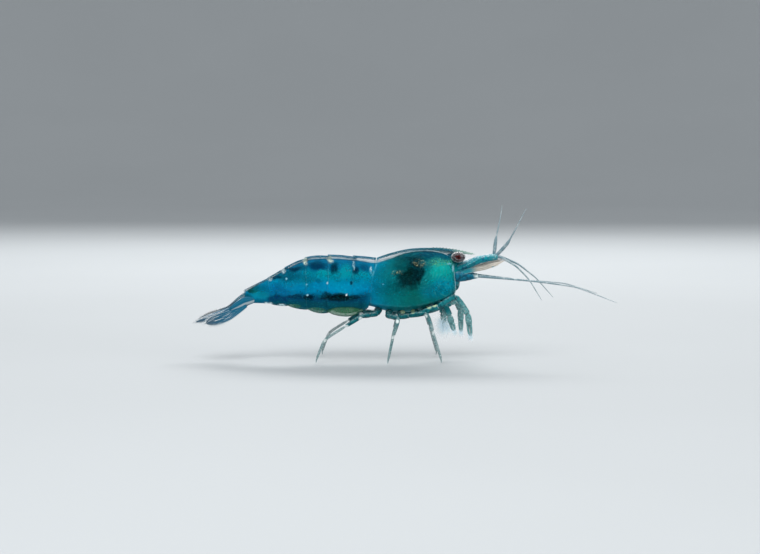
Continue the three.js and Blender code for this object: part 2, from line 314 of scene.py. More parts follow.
def plate(sheet: Array, thickness: Array | float) -> Surface:
    """A shell plate: a sheet, the same sheet moved inwards along its normals, and a rim that joins them.

    Args:
        sheet: Points of the outer face as rows x columns x 3.
        thickness: The wall's thickness, as one number or one for each point.

    Returns:
        The closed surface. Its chart runs from 0 to 1 along the rows and along the columns.
    """
    rows, columns = sheet.shape[:2]
    normal = unit(np.cross(np.gradient(sheet, axis=0), np.gradient(sheet, axis=1)))
    outward = sheet - sheet.mean(1, keepdims=True)
    normal *= np.sign((normal * outward).sum())
    inner = sheet - normal * np.broadcast_to(thickness, (rows, columns))[..., None]
    row, column = mesh_grid(rows, columns, closed=False)
    outer_faces = row * columns + column
    count = rows * columns
    numbers = np.arange(count).reshape(rows, columns)
    edge = np.concatenate([numbers[0, :-1], numbers[:-1, -1], numbers[-1, :0:-1], numbers[:0:-1, 0]])
    following = np.roll(edge, -1)
    rim = np.stack([following, edge, edge + count, following + count], 1)
    chart = np.stack([row / (rows - 1), column / (columns - 1)], -1)
    rim_numbers = rim % count
    rim_chart = np.stack([rim_numbers // columns / (rows - 1), rim_numbers % columns / (columns - 1)], -1)
    return Surface(
        np.concatenate([sheet.reshape(-1, 3), inner.reshape(-1, 3)]),
        np.concatenate([outer_faces, outer_faces[:, ::-1] + count, rim]),
        np.concatenate([chart, chart[:, ::-1], rim_chart]),
    ).facing_out()


def rod(
    path: Array, radius: Array | float, sides: int = 12, flat: float = 1.0, lean: Sequence = (0, 1, 0)
) -> Surface:
    """A round or flattened rod: an ellipse carried along a path.

    Args:
        path: Points of the middle line.
        radius: Half the width, as one number or one for each point.
        sides: Points round the ellipse.
        flat: Height of the ellipse as a share of its width.
        lean: The direction that the width lies in.

    Returns:
        The closed surface.
    """
    _, across, up = frames(path, lean)
    turn = turns(sides)[:, None]
    reach = np.broadcast_to(radius, len(path))[:, None, None]
    ring = across[:, None] * np.cos(turn) + up[:, None] * np.sin(turn) * flat
    return tube(path[:, None] + ring * reach)


def leaf(
    path: Array, half_width: Array, thickness: Array | float, rib: float, lean: Sequence, sides: int,
    cup: float = 0.0,
) -> Surface:
    """A thin blade with a raised mid rib.

    Across is the half width times cos(turn). Up is sin(turn) times the thickness, thinned to the edges by the
    fourth root of its own square, plus a bell-shaped rib. Cup times the squared share across bends the blade.

    Args:
        path: Points of the middle line.
        half_width: Half the width at each point.
        thickness: Half the thickness of the web, as one number or one for each point.
        rib: Extra height of the mid rib.
        lean: The direction that the width lies in.
        sides: Points round the section.
        cup: How far the edges bend up, in half widths.

    Returns:
        The closed surface.
    """
    _, across, up = frames(path, lean)
    turn = turns(sides, 0.5)
    share = np.cos(turn)
    web = np.broadcast_to(thickness, len(path))[:, None]
    height = np.sin(turn) * web + np.sign(np.sin(turn)) * rib * bell(share, 0.0, 0.13) * (share**2 < 0.6)
    taper = np.clip(half_width / max(half_width.max(), 1e-9) * 2.5, 0.05, 1.0)
    side = across[:, None] * (share[None, :, None] * half_width[:, None, None])
    rise = height * taper[:, None] + cup * share[None, :] ** 2 * half_width[:, None]
    return tube(path[:, None] + side + up[:, None] * rise[..., None])


def ball(
    centre: Sequence, radius: float, axis: Sequence, rows: int = 40, columns: int = 48, height: float = 1.0
) -> Surface:
    """A sphere whose first chart coordinate is the angle from its axis, as a share of half a turn.

    Args:
        centre: Its middle.
        radius: Its radius.
        axis: The way to its first pole.
        rows: Rings from pole to pole.
        columns: Points in a ring.
        height: Its height as a share of its width.

    Returns:
        The closed surface.
    """
    angle = np.linspace(0.01, 0.99, rows) * np.pi
    axis = unit(np.asarray(axis, float))
    across = unit(np.cross(axis, (0.3, 0.2, 1.0)))
    up = np.cross(axis, across)
    turn = turns(columns)[:, None]
    ring = across * np.cos(turn) + up * np.sin(turn)
    points = axis * np.cos(angle)[:, None, None] + ring[None] * np.sin(angle)[:, None, None]
    return tube(np.asarray(centre, float) + points * radius * (1.0, 1.0, height))


HAIR_SIDES = 3
TUFT_PATCH = 0.003  # width of a hair's patch on the unwrap of its skin


def hairs(roots: Array, lines: Array, sag: Array, radius: float, places: Array, rings: int = 4) -> Surface:
    """Many tapered three-sided hairs as one mesh.

    A point of a hair is root + t * line + t^2 * sag, with a ring whose radius falls as (1 - t)^0.8.

    Args:
        roots: Where the hairs grow, one row each.
        lines: The straight way from each root to its tip.
        sag: How far each tip bends away from that.
        radius: The radius at the root.
        places: Each root's place on the unwrap of the skin, from 0 to 1.
        rings: Rings of points in a hair.

    Returns:
        The joined surface. Its first chart coordinate runs from a hair's root to its tip, and its patch gives
        each hair a small square of the unwrap.
    """
    count = len(roots)
    share = np.linspace(0.0, 1.0, rings)
    sag = np.broadcast_to(sag, lines.shape)
    middle = roots[:, None] + lines[:, None] * share[:, None] + sag[:, None] * (share**2)[:, None]
    ahead = unit(lines + 0.5 * sag)
    across = unit(np.cross(ahead, np.where(np.abs(ahead[:, 2:]) < 0.8, (0.0, 0.0, 1.0), (1.0, 0.0, 0.0))))
    up = np.cross(ahead, across)
    turn = turns(HAIR_SIDES)[:, None]
    ring = across[:, None] * np.cos(turn) + up[:, None] * np.sin(turn)
    taper = radius * np.maximum(1.0 - share, 0.06) ** 0.8
    points = middle[:, :, None] + ring[:, None] * taper[:, None, None]
    row, column = mesh_grid(rings, HAIR_SIDES, closed=True)
    body = row * HAIR_SIDES + column % HAIR_SIDES
    last = (rings - 1) * HAIR_SIDES
    hair = np.concatenate([body, [[2, 1, 0, -1], [last, last + 1, last + 2, -1]]])
    starts = np.arange(count)[:, None, None] * rings * HAIR_SIDES
    faces = np.where(hair < 0, -1, hair + starts)
    local = np.stack([row / (rings - 1), column / HAIR_SIDES], -1)
    corners = np.concatenate([local, [[[0.0, 0.0]] * 4, [[1.0, 0.0]] * 4]])
    corners = np.tile(corners, (count, 1, 1, 1))
    patch = places[:, None, None] + TUFT_PATCH * corners
    return Surface(
        points.reshape(-1, 3), faces.reshape(-1, 4), corners.reshape(-1, 4, 2), patch.reshape(-1, 4, 2)
    ).facing_out()


# ---- Materials ----


def linear(colour: str) -> tuple[float, float, float, float]:
    """A colour written as six hexadecimal digits, as linear light."""
    shares = [int(colour[i : i + 2], 16) / 255 for i in (0, 2, 4)]
    return (*[s / 12.92 if s <= 0.04045 else ((s + 0.055) / 1.055) ** 2.4 for s in shares], 1.0)


class Bench:
    """One material being laid out. Its place is the object's own point in the animal's millimetres."""

    def __init__(self, name: str, stance: Stance) -> None:
        """Starts a material with a Principled shader.

        Args:
            name: The material's name.
            stance: Where the animal stands in the frame.
        """
        self.material = bpy.data.materials.new(name)
        self.material.use_nodes = True
        self.tree = self.material.node_tree
        self.shader = self.tree.nodes["Principled BSDF"]
        point = self.node("ShaderNodeTexCoord", {}).outputs["Object"]
        self.place = self.vector("MULTIPLY_ADD", point, (1 / MM,) * 3, (-stance.x, -stance.y, 0.0)).outputs[0]

    def feed(self, socket: Socket, value: Value) -> None:
        """Links a socket to another one, or sets its own value.

        Args:
            socket: The socket to feed.
            value: Another socket, a number, a vector, or a colour as a string.
        """
        if isinstance(value, Socket):
            self.tree.links.new(value, socket)
        else:
            socket.default_value = linear(value) if isinstance(value, str) else value

    def node(self, kind: str, feeds: dict, **settings: object) -> bpy.types.Node:
        """A new node.

        Args:
            kind: Its type.
            feeds: Values for its inputs, by name or number.
            settings: Its properties.

        Returns:
            The node.
        """
        made = self.tree.nodes.new(kind)
        for key, value in settings.items():
            setattr(made, key, value)
        for key, value in feeds.items():
            self.feed(made.inputs[key], value)
        return made

    def math(self, operation: str, *values: Value, clamp: bool = False) -> Socket:
        """The result of a Math node."""
        made = self.node("ShaderNodeMath", dict(enumerate(values)), operation=operation, use_clamp=clamp)
        return made.outputs[0]

    def vector(self, operation: str, *values: Value) -> bpy.types.Node:
        """A Vector Math node."""
        return self.node("ShaderNodeVectorMath", dict(enumerate(values)), operation=operation)

    def axes(self, vector: Socket) -> tuple[Socket, Socket, Socket]:
        """A vector's x, y and z."""
        split = self.node("ShaderNodeSeparateXYZ", {0: vector})
        return split.outputs[0], split.outputs[1], split.outputs[2]

    def chart(self) -> tuple[Socket, Socket]:
        """The piece's two chart coordinates."""
        u, v, _ = self.axes(self.node("ShaderNodeUVMap", {}, uv_map="Chart").outputs[0])
        return u, v

    def rise(self, value: Value, low: float, high: float, top: float = 1.0) -> Socket:
        """A smooth step from 0 at low to top at high."""
        feeds = {"Value": value, "From Min": low, "From Max": high, "To Max": top}
        return self.node("ShaderNodeMapRange", feeds, interpolation_type="SMOOTHSTEP").outputs[0]

    def fall(self, value: Value, low: float, high: float, top: float = 1.0) -> Socket:
        """A smooth step from top at low to 0 at high."""
        feeds = {"Value": value, "From Min": low, "From Max": high, "To Min": top, "To Max": 0.0}
        return self.node("ShaderNodeMapRange", feeds, interpolation_type="SMOOTHSTEP").outputs[0]

    def both(self, first: Value, second: Value) -> Socket:
        """The product of two masks."""
        return self.math("MULTIPLY", first, second)

    def either(self, first: Value, second: Value) -> Socket:
        """The larger of two masks."""
        return self.math("MAXIMUM", first, second)

    def spot(self, vector: Socket, centre: tuple, radii: tuple, soft: float = 0.35) -> Socket:
        """A soft ellipse in the side view, on both sides of the body.

        Args:
            vector: The point, in millimetres.
            centre: x and z of the ellipse's middle.
            radii: Half its length and half its height.
            soft: Share of the radius over which it fades.

        Returns:
            A mask that is 1 inside the ellipse.
        """
        scale = (1 / radii[0], 0.0, 1 / radii[1])
        shift = (-centre[0] / radii[0], 0.0, -centre[1] / radii[1])
        moved = self.vector("MULTIPLY_ADD", vector, scale, shift).outputs[0]
        return self.fall(self.vector("LENGTH", moved).outputs["Value"], 1 - soft, 1 + soft)

    def mix(self, share: Value, under: Value, over: Value) -> Socket:
        """One colour laid over another by a share."""
        feeds = {0: share, 6: under, 7: over}
        return self.node("ShaderNodeMix", feeds, data_type="RGBA").outputs[2]

    def noise(self, size: float, detail: float = 3.0, vector: Value | None = None) -> Socket:
        """Cloudy noise around 0.5, with features of about a size in millimetres."""
        feeds = {"Vector": self.place if vector is None else vector, "Scale": 1 / size, "Detail": detail}
        return self.node("ShaderNodeTexNoise", feeds).outputs[0]

    def cloud(self, size: float, detail: float, low: float, high: float, top: float = 1.0) -> Socket:
        """Noise of a size, sharpened into a smooth step from 0 at low to top at high."""
        return self.rise(self.noise(size, detail), low, high, top)

    def cells(self, size: float) -> tuple[Socket, Socket]:
        """Cells of about a size: the distance to a cell's middle, in cells, and a random number for each."""
        made = self.node("ShaderNodeTexVoronoi", {"Vector": self.place, "Scale": 1 / size}).outputs
        return made["Distance"], self.node("ShaderNodeSeparateColor", {0: made["Color"]}).outputs[0]

    def specks(self, size: float, share: float, radius: float) -> Socket:
        """Small round dots in some of the cells.

        Args:
            size: The cells' size, in millimetres.
            share: The share of them that hold a dot.
            radius: A dot's radius, in cells.

        Returns:
            A mask that is 1 in the dots.
        """
        distance, random = self.cells(size)
        dot = self.fall(distance, radius * 0.5, radius)
        return self.both(dot, self.rise(random, 1 - share, 1 - share + 0.02))

    def drift(self, size: float, reach: float) -> Socket:
        """The place moved about by noise.

        Args:
            size: The noise's size, in millimetres.
            reach: About how far it moves a point.

        Returns:
            The moved place.
        """
        noise = self.node("ShaderNodeTexNoise", {"Vector": self.place, "Scale": 1 / size, "Detail": 2.0})
        centred = self.vector("SUBTRACT", noise.outputs["Color"], (0.5,) * 3).outputs[0]
        return self.vector("MULTIPLY_ADD", centred, (4 * reach,) * 3, self.place).outputs[0]

    def bump(self, height: Socket, microns: float) -> None:
        """Feeds the shader a bump of a height in thousandths of a millimetre."""
        feeds = {"Height": height, "Distance": microns * MM * MM, "Strength": 1.0}
        self.feed(self.shader.inputs["Normal"], self.node("ShaderNodeBump", feeds).outputs[0])

    def finish(self, **values: Value) -> None:
        """Feeds the shader's sockets by name, where an underscore stands for a space."""
        for key, value in values.items():
            self.feed(self.shader.inputs[key.replace("_", " ")], value)


@dataclass(frozen=True)
class Finish:
    """A finish. Each kind of it lays itself out in its own way."""

    name: str

    def lay(self, bench: Bench) -> None:
        """Lays the finish out on a bench."""
        raise NotImplementedError

    def made(self, stance: Stance) -> bpy.types.Material:
        """The finish as a material.

        Args:
            stance: Where the animal stands in the frame.

        Returns:
            The material.
        """
        bench = Bench(self.name, stance)
        self.lay(bench)
        return bench.material


@dataclass(frozen=True)
class Spot:
    """A soft-edged patch of colour in the side view: its middle, half its length and height, and strength."""

    colour: str
    x: float
    z: float
    length: float
    height: float
    strength: float = 1.0
    soft: float = 0.5


def spot_table(*rows: tuple) -> tuple[Spot, ...]:
    """Spots from rows of their fields."""
    return tuple(Spot(*row) for row in rows)


KNOB_MARKS = tuple(
    Spot("EDF6F4", x, z, 0.17, 0.17, 0.9, 0.5)
    for x, z in (
        (-0.87, 4.3), (2.68, 4.1), (5.42, 4.55), (2.22, 2.6), (6.06, 2.95), (-2.2, 3.55), (-4.25, 2.25)
    )
)
# Pale crescents on the leg bases: painted highlights.
LEG_BASE_HIGHLIGHTS = tuple(
    Spot("C8DEB0", x, z, 0.24, 0.2, 0.9, 0.4)
    for x, z in ((3.26, 4.85), (4.15, 4.95), (4.86, 5.2), (5.75, 5.4), (6.27, 5.6))
)
TAIL_SPOTS = spot_table(
    ("06A4B2", -4.4, 8.75, 0.6, 0.3, 0.8),
    ("06A0B0", -2.3, 8.8, 0.7, 0.6, 0.8),
    ("067E98", -6.4, 8.05, 1.3, 0.35, 0.7),
    ("0676A8", -8.9, 6.95, 1.2, 0.5, 0.8),
    ("009CCE", -5.0, 7.4, 1.0, 0.4, 0.8),
    ("00A2CE", -2.4, 7.35, 1.3, 0.42, 0.8),
    ("088EA6", -10.7, 6.6, 0.9, 0.6, 0.9),
    ("0B6A62", -11.2, 7.05, 0.45, 0.3, 0.9),
    ("083A2C", -11.75, 7.0, 0.4, 0.3, 0.9),
    ("04586E", -12.1, 6.1, 0.7, 0.6, 0.9),
    ("04586E", -11.4, 5.75, 0.7, 0.35, 0.8),
    ("03506E", -8.2, 8.4, 1.6, 0.45, 0.7),
    ("04546E", -6.6, 9.15, 0.7, 0.3, 0.6),
    ("036080", -10.8, 7.25, 0.8, 0.35, 0.7),
    ("02365A", -5.2, 9.4, 0.75, 0.42),
    ("022C4C", -7.35, 9.0, 0.62, 0.28),
    ("022C4C", -9.2, 8.15, 0.5, 0.2),
    ("022A40", -3.45, 9.15, 0.34, 0.5, 0.95),
    ("022A48", -1.3, 8.9, 0.3, 0.38, 0.95),
    ("02446A", -0.4, 9.15, 0.5, 0.3, 0.7),
    ("03324E", -1.75, 7.72, 0.14, 0.18, 0.9),
    ("024468", -5.0, 7.85, 0.3, 0.18, 0.5),
    ("010A10", -5.95, 6.25, 0.5, 0.36, 0.85),
    ("01090E", -2.9, 6.3, 1.85, 0.36),
    ("03304E", -7.2, 6.3, 0.8, 0.26, 0.9),
    ("043A62", -8.9, 6.1, 1.0, 0.22, 0.8),
)
CHEST_SPOTS = spot_table(
    ("0A6E62", 4.3, 6.4, 2.0, 1.0, 0.8, 0.7),
    ("0AA6A2", 7.0, 8.5, 1.25, 1.3, 0.95, 0.6),
    ("16BDB4", 6.9, 9.0, 0.8, 0.6, 0.8, 0.7),
    ("0098B4", 7.2, 7.4, 1.2, 0.8, 0.85, 0.6),
    ("04727C", 2.0, 6.9, 1.5, 1.2, 0.6, 0.7),
    ("028AA4", 6.0, 6.8, 1.1, 0.6, 0.7, 0.7),
    ("0A7A84", 1.6, 8.6, 1.0, 0.7, 0.7, 0.7),
    ("04526C", 7.4, 10.35, 1.2, 0.3, 0.8),
    ("033E5C", 5.6, 10.45, 1.2, 0.28, 0.8),
    ("04363E", 3.8, 10.15, 1.6, 0.3, 0.7),
)
ORGAN_SPOTS = spot_table(
    ("04302E", 3.3, 7.55, 1.1, 0.5, 0.6, 0.6),
    ("04201C", 3.9, 8.15, 1.05, 0.9, 0.95, 0.3),
    ("03191A", 4.45, 9.0, 0.9, 0.95, 0.95, 0.3),
    ("04201C", 3.2, 8.5, 0.75, 0.45, 0.8, 0.4),
    ("06302A", 3.2, 9.4, 0.9, 0.5, 0.55, 0.6),
    ("03222A", 4.35, 9.95, 1.0, 0.4, 0.8, 0.5),
)
PALE_SPOTS = spot_table(
    ("E4F0DC", -6.25, 9.78, 0.2, 0.32, 0.95),
    ("E4F0DC", -3.85, 9.95, 0.2, 0.3, 0.95),
    ("DDEEF0", -8.5, 8.82, 0.2, 0.2, 0.9),
    ("DDEEF0", -9.75, 8.0, 0.2, 0.16, 0.8),
    ("E8F4F4", -12.45, 6.72, 0.22, 0.16, 0.9),
    ("9FD8E8", -12.0, 5.9, 0.3, 0.14, 0.8),
    ("BFE4EC", -1.5, 9.5, 0.08, 0.4, 0.7),
    ("D0ECF0", 0.12, 8.95, 0.1, 0.26, 0.8),
    ("CFE6EA", -9.9, 5.64, 0.4, 0.12, 0.9),
    ("CFE6EA", -8.6, 5.48, 0.35, 0.12, 0.9),
)
# Small bright dots: painted glints.
PAINTED_GLINTS = spot_table(
    ("FFFFFF", -2.24, 6.56, 0.09, 0.1, 1.0, 0.3),
    ("D8F4FC", -4.1, 7.72, 0.08, 0.1, 1.0, 0.3),
    ("8FD0E4", -8.1, 8.08, 0.1, 0.11, 1.0, 0.3),
    ("A8DCEC", -6.05, 6.5, 0.1, 0.1, 1.0, 0.3),
    ("8FD0E4", -6.1, 7.55, 0.08, 0.08, 0.8, 0.3),
    ("8FD0E4", 1.3, 7.6, 0.06, 0.06, 0.8, 0.3),
    ("A4D4E6", 8.12, 9.1, 0.09, 0.32, 0.8, 0.4),
    ("8CCBDE", 7.75, 9.55, 0.22, 0.07, 0.7, 0.4),
)


@dataclass(frozen=True)
class BodyPaint:
    """The animal's markings and painted glints: bands, patches and spots in its side view, alike on flesh and
    shell.
    """

    teal: str = "04767E"
    azure: str = "009ED2"
    upper: str = "05709A"
    green_teal: str = "0292A4"
    navy: str = "034466"
    deep: str = "054858"
    speck: str = "14A8B4"
    # bright cyan clouds on the tail: painted glints
    painted_glint: str = "18B4D0"
    fibre: str = "4FC0B4"
    gold: str = "C9BC86"
    lime: str = "70BE7A"
    pale: str = "DCEFF2"
    # Sets of fine arcs: the middle, half the length and height, the arcs' width, and their strength.
    arcs: tuple = (((4.9, 8.9), (3.0, 1.9), 0.3, 0.3), ((7.3, 7.0), (1.2, 1.0), 0.4, 0.35))

    def laid(
        self, bench: Bench, vector: Socket, colour: Socket, spots: Sequence[Spot], grain: Value = 1.0
    ) -> Socket:
        """A colour with spots laid over it.

        Args:
            bench: The material being laid out.
            vector: The point, in millimetres.
            colour: The colour under the spots.
            spots: The spots, from the lowest to the uppermost.
            grain: A mask that every spot is multiplied by.

        Returns:
            The new colour.
        """
        for spot in spots:
            mask = bench.spot(vector, (spot.x, spot.z), (spot.length, spot.height), spot.soft)
            colour = bench.mix(bench.both(bench.both(mask, spot.strength), grain), colour, spot.colour)
        return colour

    def tail(self, bench: Bench, moved: Socket) -> Socket:
        """The colour of the tail's bands.

        Args:
            bench: The material being laid out.
            moved: The point, in millimetres.

        Returns:
            The colour.
        """
        x, _, z = bench.axes(moved)
        colour = bench.mix(bench.rise(z, 6.9, 8.7), self.azure, self.green_teal)
        # painted glints in clouds
        colour = bench.mix(bench.cloud(0.9, 4.0, 0.5, 0.75, 0.6), colour, self.painted_glint)
        colour = bench.mix(bench.cloud(1.3, 3.0, 0.5, 0.7, 0.4), colour, self.upper)
        colour = bench.mix(bench.rise(z, 8.5, 9.2), colour, self.upper)
        colour = bench.mix(bench.fall(x, -9.0, -5.0, 0.45), colour, self.upper)
        along = bench.rise(x, -11.4, -9.4)
        colour = bench.mix(bench.both(bench.fall(z, 6.2, 7.1), along), colour, self.navy)
        return bench.mix(bench.both(bench.fall(z, 5.6, 6.05), along), colour, self.deep)

    def chest(self, bench: Bench, moved: Socket) -> Socket:
        """The colour of the carapace and of what shows through it.

        Args:
            bench: The material being laid out.
            moved: The point, in millimetres.

        Returns:
            The colour.
        """
        x, _, z = bench.axes(moved)
        colour = bench.mix(bench.both(bench.fall(x, 0.3, 2.4), 0.6), self.teal, self.azure)
        colour = bench.mix(bench.both(bench.rise(z, 9.7, 10.6), 0.6), colour, self.deep)
        colour = self.laid(bench, moved, colour, CHEST_SPOTS)
        granules = bench.cloud(0.11, 5.0, 0.47, 0.62)
        gold = bench.both(bench.spot(moved, (6.9, 9.72), (1.3, 0.36), 0.4), granules)
        colour = bench.mix(bench.both(gold, 0.75), colour, self.lime)
        colour = self.ripples(bench, colour)
        colour = self.laid(bench, bench.drift(0.6, 0.34), colour, ORGAN_SPOTS)
        near = bench.spot(moved, (4.85, 9.65), (0.6, 0.4))
        near = bench.either(near, bench.spot(moved, (2.75, 8.75), (0.5, 0.2)))
        return bench.mix(bench.both(near, bench.cloud(0.14, 3.0, 0.54, 0.66)), colour, self.gold)

    def ripples(self, bench: Bench, colour: Socket) -> Socket:
        """Fine light arcs round the organs and in front of them, as muscle fibres show through the shell.

        Args:
            bench: The material being laid out.
            colour: The colour under them.

        Returns:
            The new colour.
        """
        for centre, radii, size, strength in self.arcs:
            shift = (-centre[0], 0.0, -centre[1])
            place = bench.vector("MULTIPLY_ADD", bench.place, (1.0, 0.0, 1.0), shift)
            feeds = {"Vector": place.outputs[0], "Scale": 0.31 / size, "Distortion": 5.0, "Detail": 3.0}
            wave = bench.node("ShaderNodeTexWave", feeds, wave_type="RINGS", rings_direction="SPHERICAL")
            mask = bench.spot(bench.place, centre, radii, 0.3)
            mask = bench.both(mask, bench.rise(wave.outputs[1], 0.72, 0.95, strength))
            colour = bench.mix(bench.both(mask, bench.cloud(0.5, 3.0, 0.42, 0.6)), colour, self.fibre)
        return colour

    def colour(self, bench: Bench) -> Socket:
        """The whole body's colour.

        Args:
            bench: The material being laid out.

        Returns:
            The colour, with the pigment's grain, the light joint marks and the painted glints in it.
        """
        moved = bench.drift(1.0, 0.2)
        x, _, _ = bench.axes(moved)
        tail = self.laid(bench, moved, self.tail(bench, moved), TAIL_SPOTS)
        colour = bench.mix(bench.rise(x, -0.6, 0.9), tail, self.chest(bench, moved))
        colour = bench.mix(bench.cloud(1.1, 4.0, 0.4, 0.75, 0.3), colour, self.deep)
        distance, random = bench.cells(0.13)
        grain = bench.both(bench.fall(distance, 0.1, 0.6), bench.rise(random, 0.3, 1.0, 0.3))
        colour = bench.mix(grain, colour, self.speck)
        colour = bench.mix(bench.cloud(0.3, 5.0, 0.45, 0.8, 0.3), colour, self.deep)
        colour = self.laid(bench, moved, colour, PALE_SPOTS, bench.cloud(0.15, 3.0, 0.3, 0.56))
        colour = bench.mix(bench.both(bench.specks(0.7, 0.3, 0.06), 0.6), colour, self.speck)
        return self.laid(bench, bench.drift(0.12, 0.05), colour, PAINTED_GLINTS)


@dataclass(frozen=True)
class Flesh(Finish):
    """The coloured flesh under the shell: satin, soft to the light, with a pale back line, part stripe and
    part painted highlight.
    """

    name: str = "pigmented_flesh"
    paint: BodyPaint = BodyPaint()
    line_glow: float = 0.4  # painted glow: light of its own in the back line, for the light that clear flesh gathers there

    def lay(self, bench: Bench) -> None:
        """Lays out the skin's markings, with the pale back line, partly stripe and partly painted highlight.

        Args:
            bench: The material being laid out.
        """
        u, v = bench.chart()
        from_top = bench.math("PINGPONG", v, 0.5)
        # The pale back line: partly a pale stripe, partly a painted highlight along the back; it also carries
        # the painted glow.
        line = bench.fall(bench.math("ADD", from_top, bench.both(bench.noise(0.35), 0.02)), 0.034, 0.054)
        line = bench.both(line, bench.both(bench.rise(u, 0.02, 0.08), bench.fall(u, 0.8, 0.86)))
        broken = bench.math("ADD", bench.cloud(0.8, 3.0, 0.3, 0.6, 0.4), 0.55)
        line = bench.both(line, broken)
        colour = bench.mix(line, self.paint.colour(bench), self.paint.pale)
        bench.bump(bench.noise(0.12, 4.0), 14)
        bench.finish(
            Base_Color=colour, Roughness=0.45, Specular_IOR_Level=0.06, Subsurface_Weight=0.12,
            Subsurface_Radius=(0.4, 0.8, 1.0), Subsurface_Scale=0.0004,
            # The back line's painted glow.
            Emission_Color=bench.mix(line, "000000", self.paint.pale), Emission_Strength=self.line_glow,
        )


@dataclass(frozen=True)
class Cuticle(Finish):
    """The glossy shell: clear beside the back's crest, tinted lower down, with pale margins, and on the
    carapace a painted highlight along its front edge.
    """

    name: str = "clear_cuticle"
    paint: BodyPaint = BodyPaint()
    clear: float = 0.05
    crest: float = 0.75  # how opaque its tint is along the very top
    tinted: float = 0.6
    lowest: float = 0.92  # how opaque it is low down on the flanks
    margin: float = 0.02  # width of the pale margin, as a share of the plate's chart
    front: float = 0.0  # strength of the painted highlight along the front edge
    # Pale green windows low down: the middle, and half the length and height.
    windows: tuple = (((-2.35, 4.9), (1.7, 0.42)), ((-5.3, 5.0), (1.0, 0.3)), ((-7.4, 5.4), (0.7, 0.2)))

    def lay(self, bench: Bench) -> None:
        """Lays out the markings, the margins and how much shows through.

        Args:
            bench: The material being laid out.
        """
        u, v = bench.chart()
        from_top = bench.math("ABSOLUTE", bench.math("SUBTRACT", v, 0.5))
        side = bench.rise(from_top, 0.12, 0.2)
        shapes = [bench.spot(bench.place, *window, 0.2) for window in self.windows]
        window = bench.either(shapes[0], bench.both(bench.either(shapes[1], shapes[2]), 0.6))
        cover = bench.mix(side, (self.clear,) * 3 + (1.0,), (self.tinted,) * 3 + (1.0,))
        ragged = bench.math("ADD", from_top, bench.both(bench.noise(0.45, 4.0), 0.04))
        broken = bench.math("ADD", bench.cloud(0.16, 5.0, 0.38, 0.6, 0.45), 0.55)
        cover = bench.either(cover, bench.both(bench.fall(ragged, 0.08, 0.115, self.crest), broken))
        _, _, z = bench.axes(bench.place)
        cover = bench.math("ADD", cover, bench.both(bench.fall(z, 6.0, 7.0, self.lowest - self.tinted), side))
        cover = bench.both(cover, bench.math("SUBTRACT", 1.0, bench.both(window, 0.4)))
        edge = bench.either(bench.fall(u, self.margin * 0.4, self.margin), bench.rise(from_top, 0.482, 0.495))
        upper = bench.math("ADD", bench.rise(z, 6.6, 8.8, 0.75), 0.25)
        edge = bench.both(bench.both(edge, upper), bench.cloud(0.3, 4.0, 0.35, 0.62))
        flecks = bench.both(bench.cloud(0.24, 5.0, 0.56, 0.7, 0.25), side)
        upper_side = bench.both(bench.fall(from_top, 0.12, 0.2), 0.7)
        colour = bench.mix(upper_side, self.paint.colour(bench), "0E5468")
        grain = bench.cloud(0.15, 4.0, 0.44, 0.6)
        colour = self.paint.laid(bench, bench.place, colour, PALE_SPOTS, grain)
        middle, (length, height) = self.windows[0]
        outline = bench.spot(bench.place, middle, (length + 0.2, height + 0.12), 0.1)
        colour = bench.mix(bench.both(outline, 0.8), colour, "0A3C3A")
        colour = bench.mix(bench.both(window, 0.85), colour, "3C7A54")
        colour = bench.mix(bench.both(edge, 0.35), colour, "7FC4CC")
        # A pale line just behind the front edge, fading high and low: a painted highlight along the
        # carapace's front.
        front = bench.both(bench.rise(u, 0.8, 0.83, self.front), bench.fall(u, 0.88, 0.92))
        front = bench.both(front, bench.both(bench.cloud(0.4, 3.0, 0.3, 0.5), bench.fall(z, 8.4, 9.6)))
        colour = bench.mix(bench.both(front, 0.7), colour, self.paint.pale)
        edge = bench.either(edge, front)
        facing = bench.node("ShaderNodeLayerWeight", {"Blend": 0.3}).outputs["Facing"]
        dense = bench.math("ADD", bench.both(edge, 0.2), bench.both(bench.math("POWER", facing, 2.5), 0.6))
        alpha = bench.math("ADD", cover, bench.math("ADD", dense, flecks), clamp=True)
        distance, _ = bench.cells(0.1)
        bench.bump(bench.math("ADD", distance, bench.both(bench.noise(0.6, 3.0), 2.0)), 4)
        bench.finish(
            Base_Color=colour, Alpha=alpha, Roughness=0.3, Specular_IOR_Level=0.0, Coat_Weight=0.05,
            Coat_Roughness=0.06,
        )


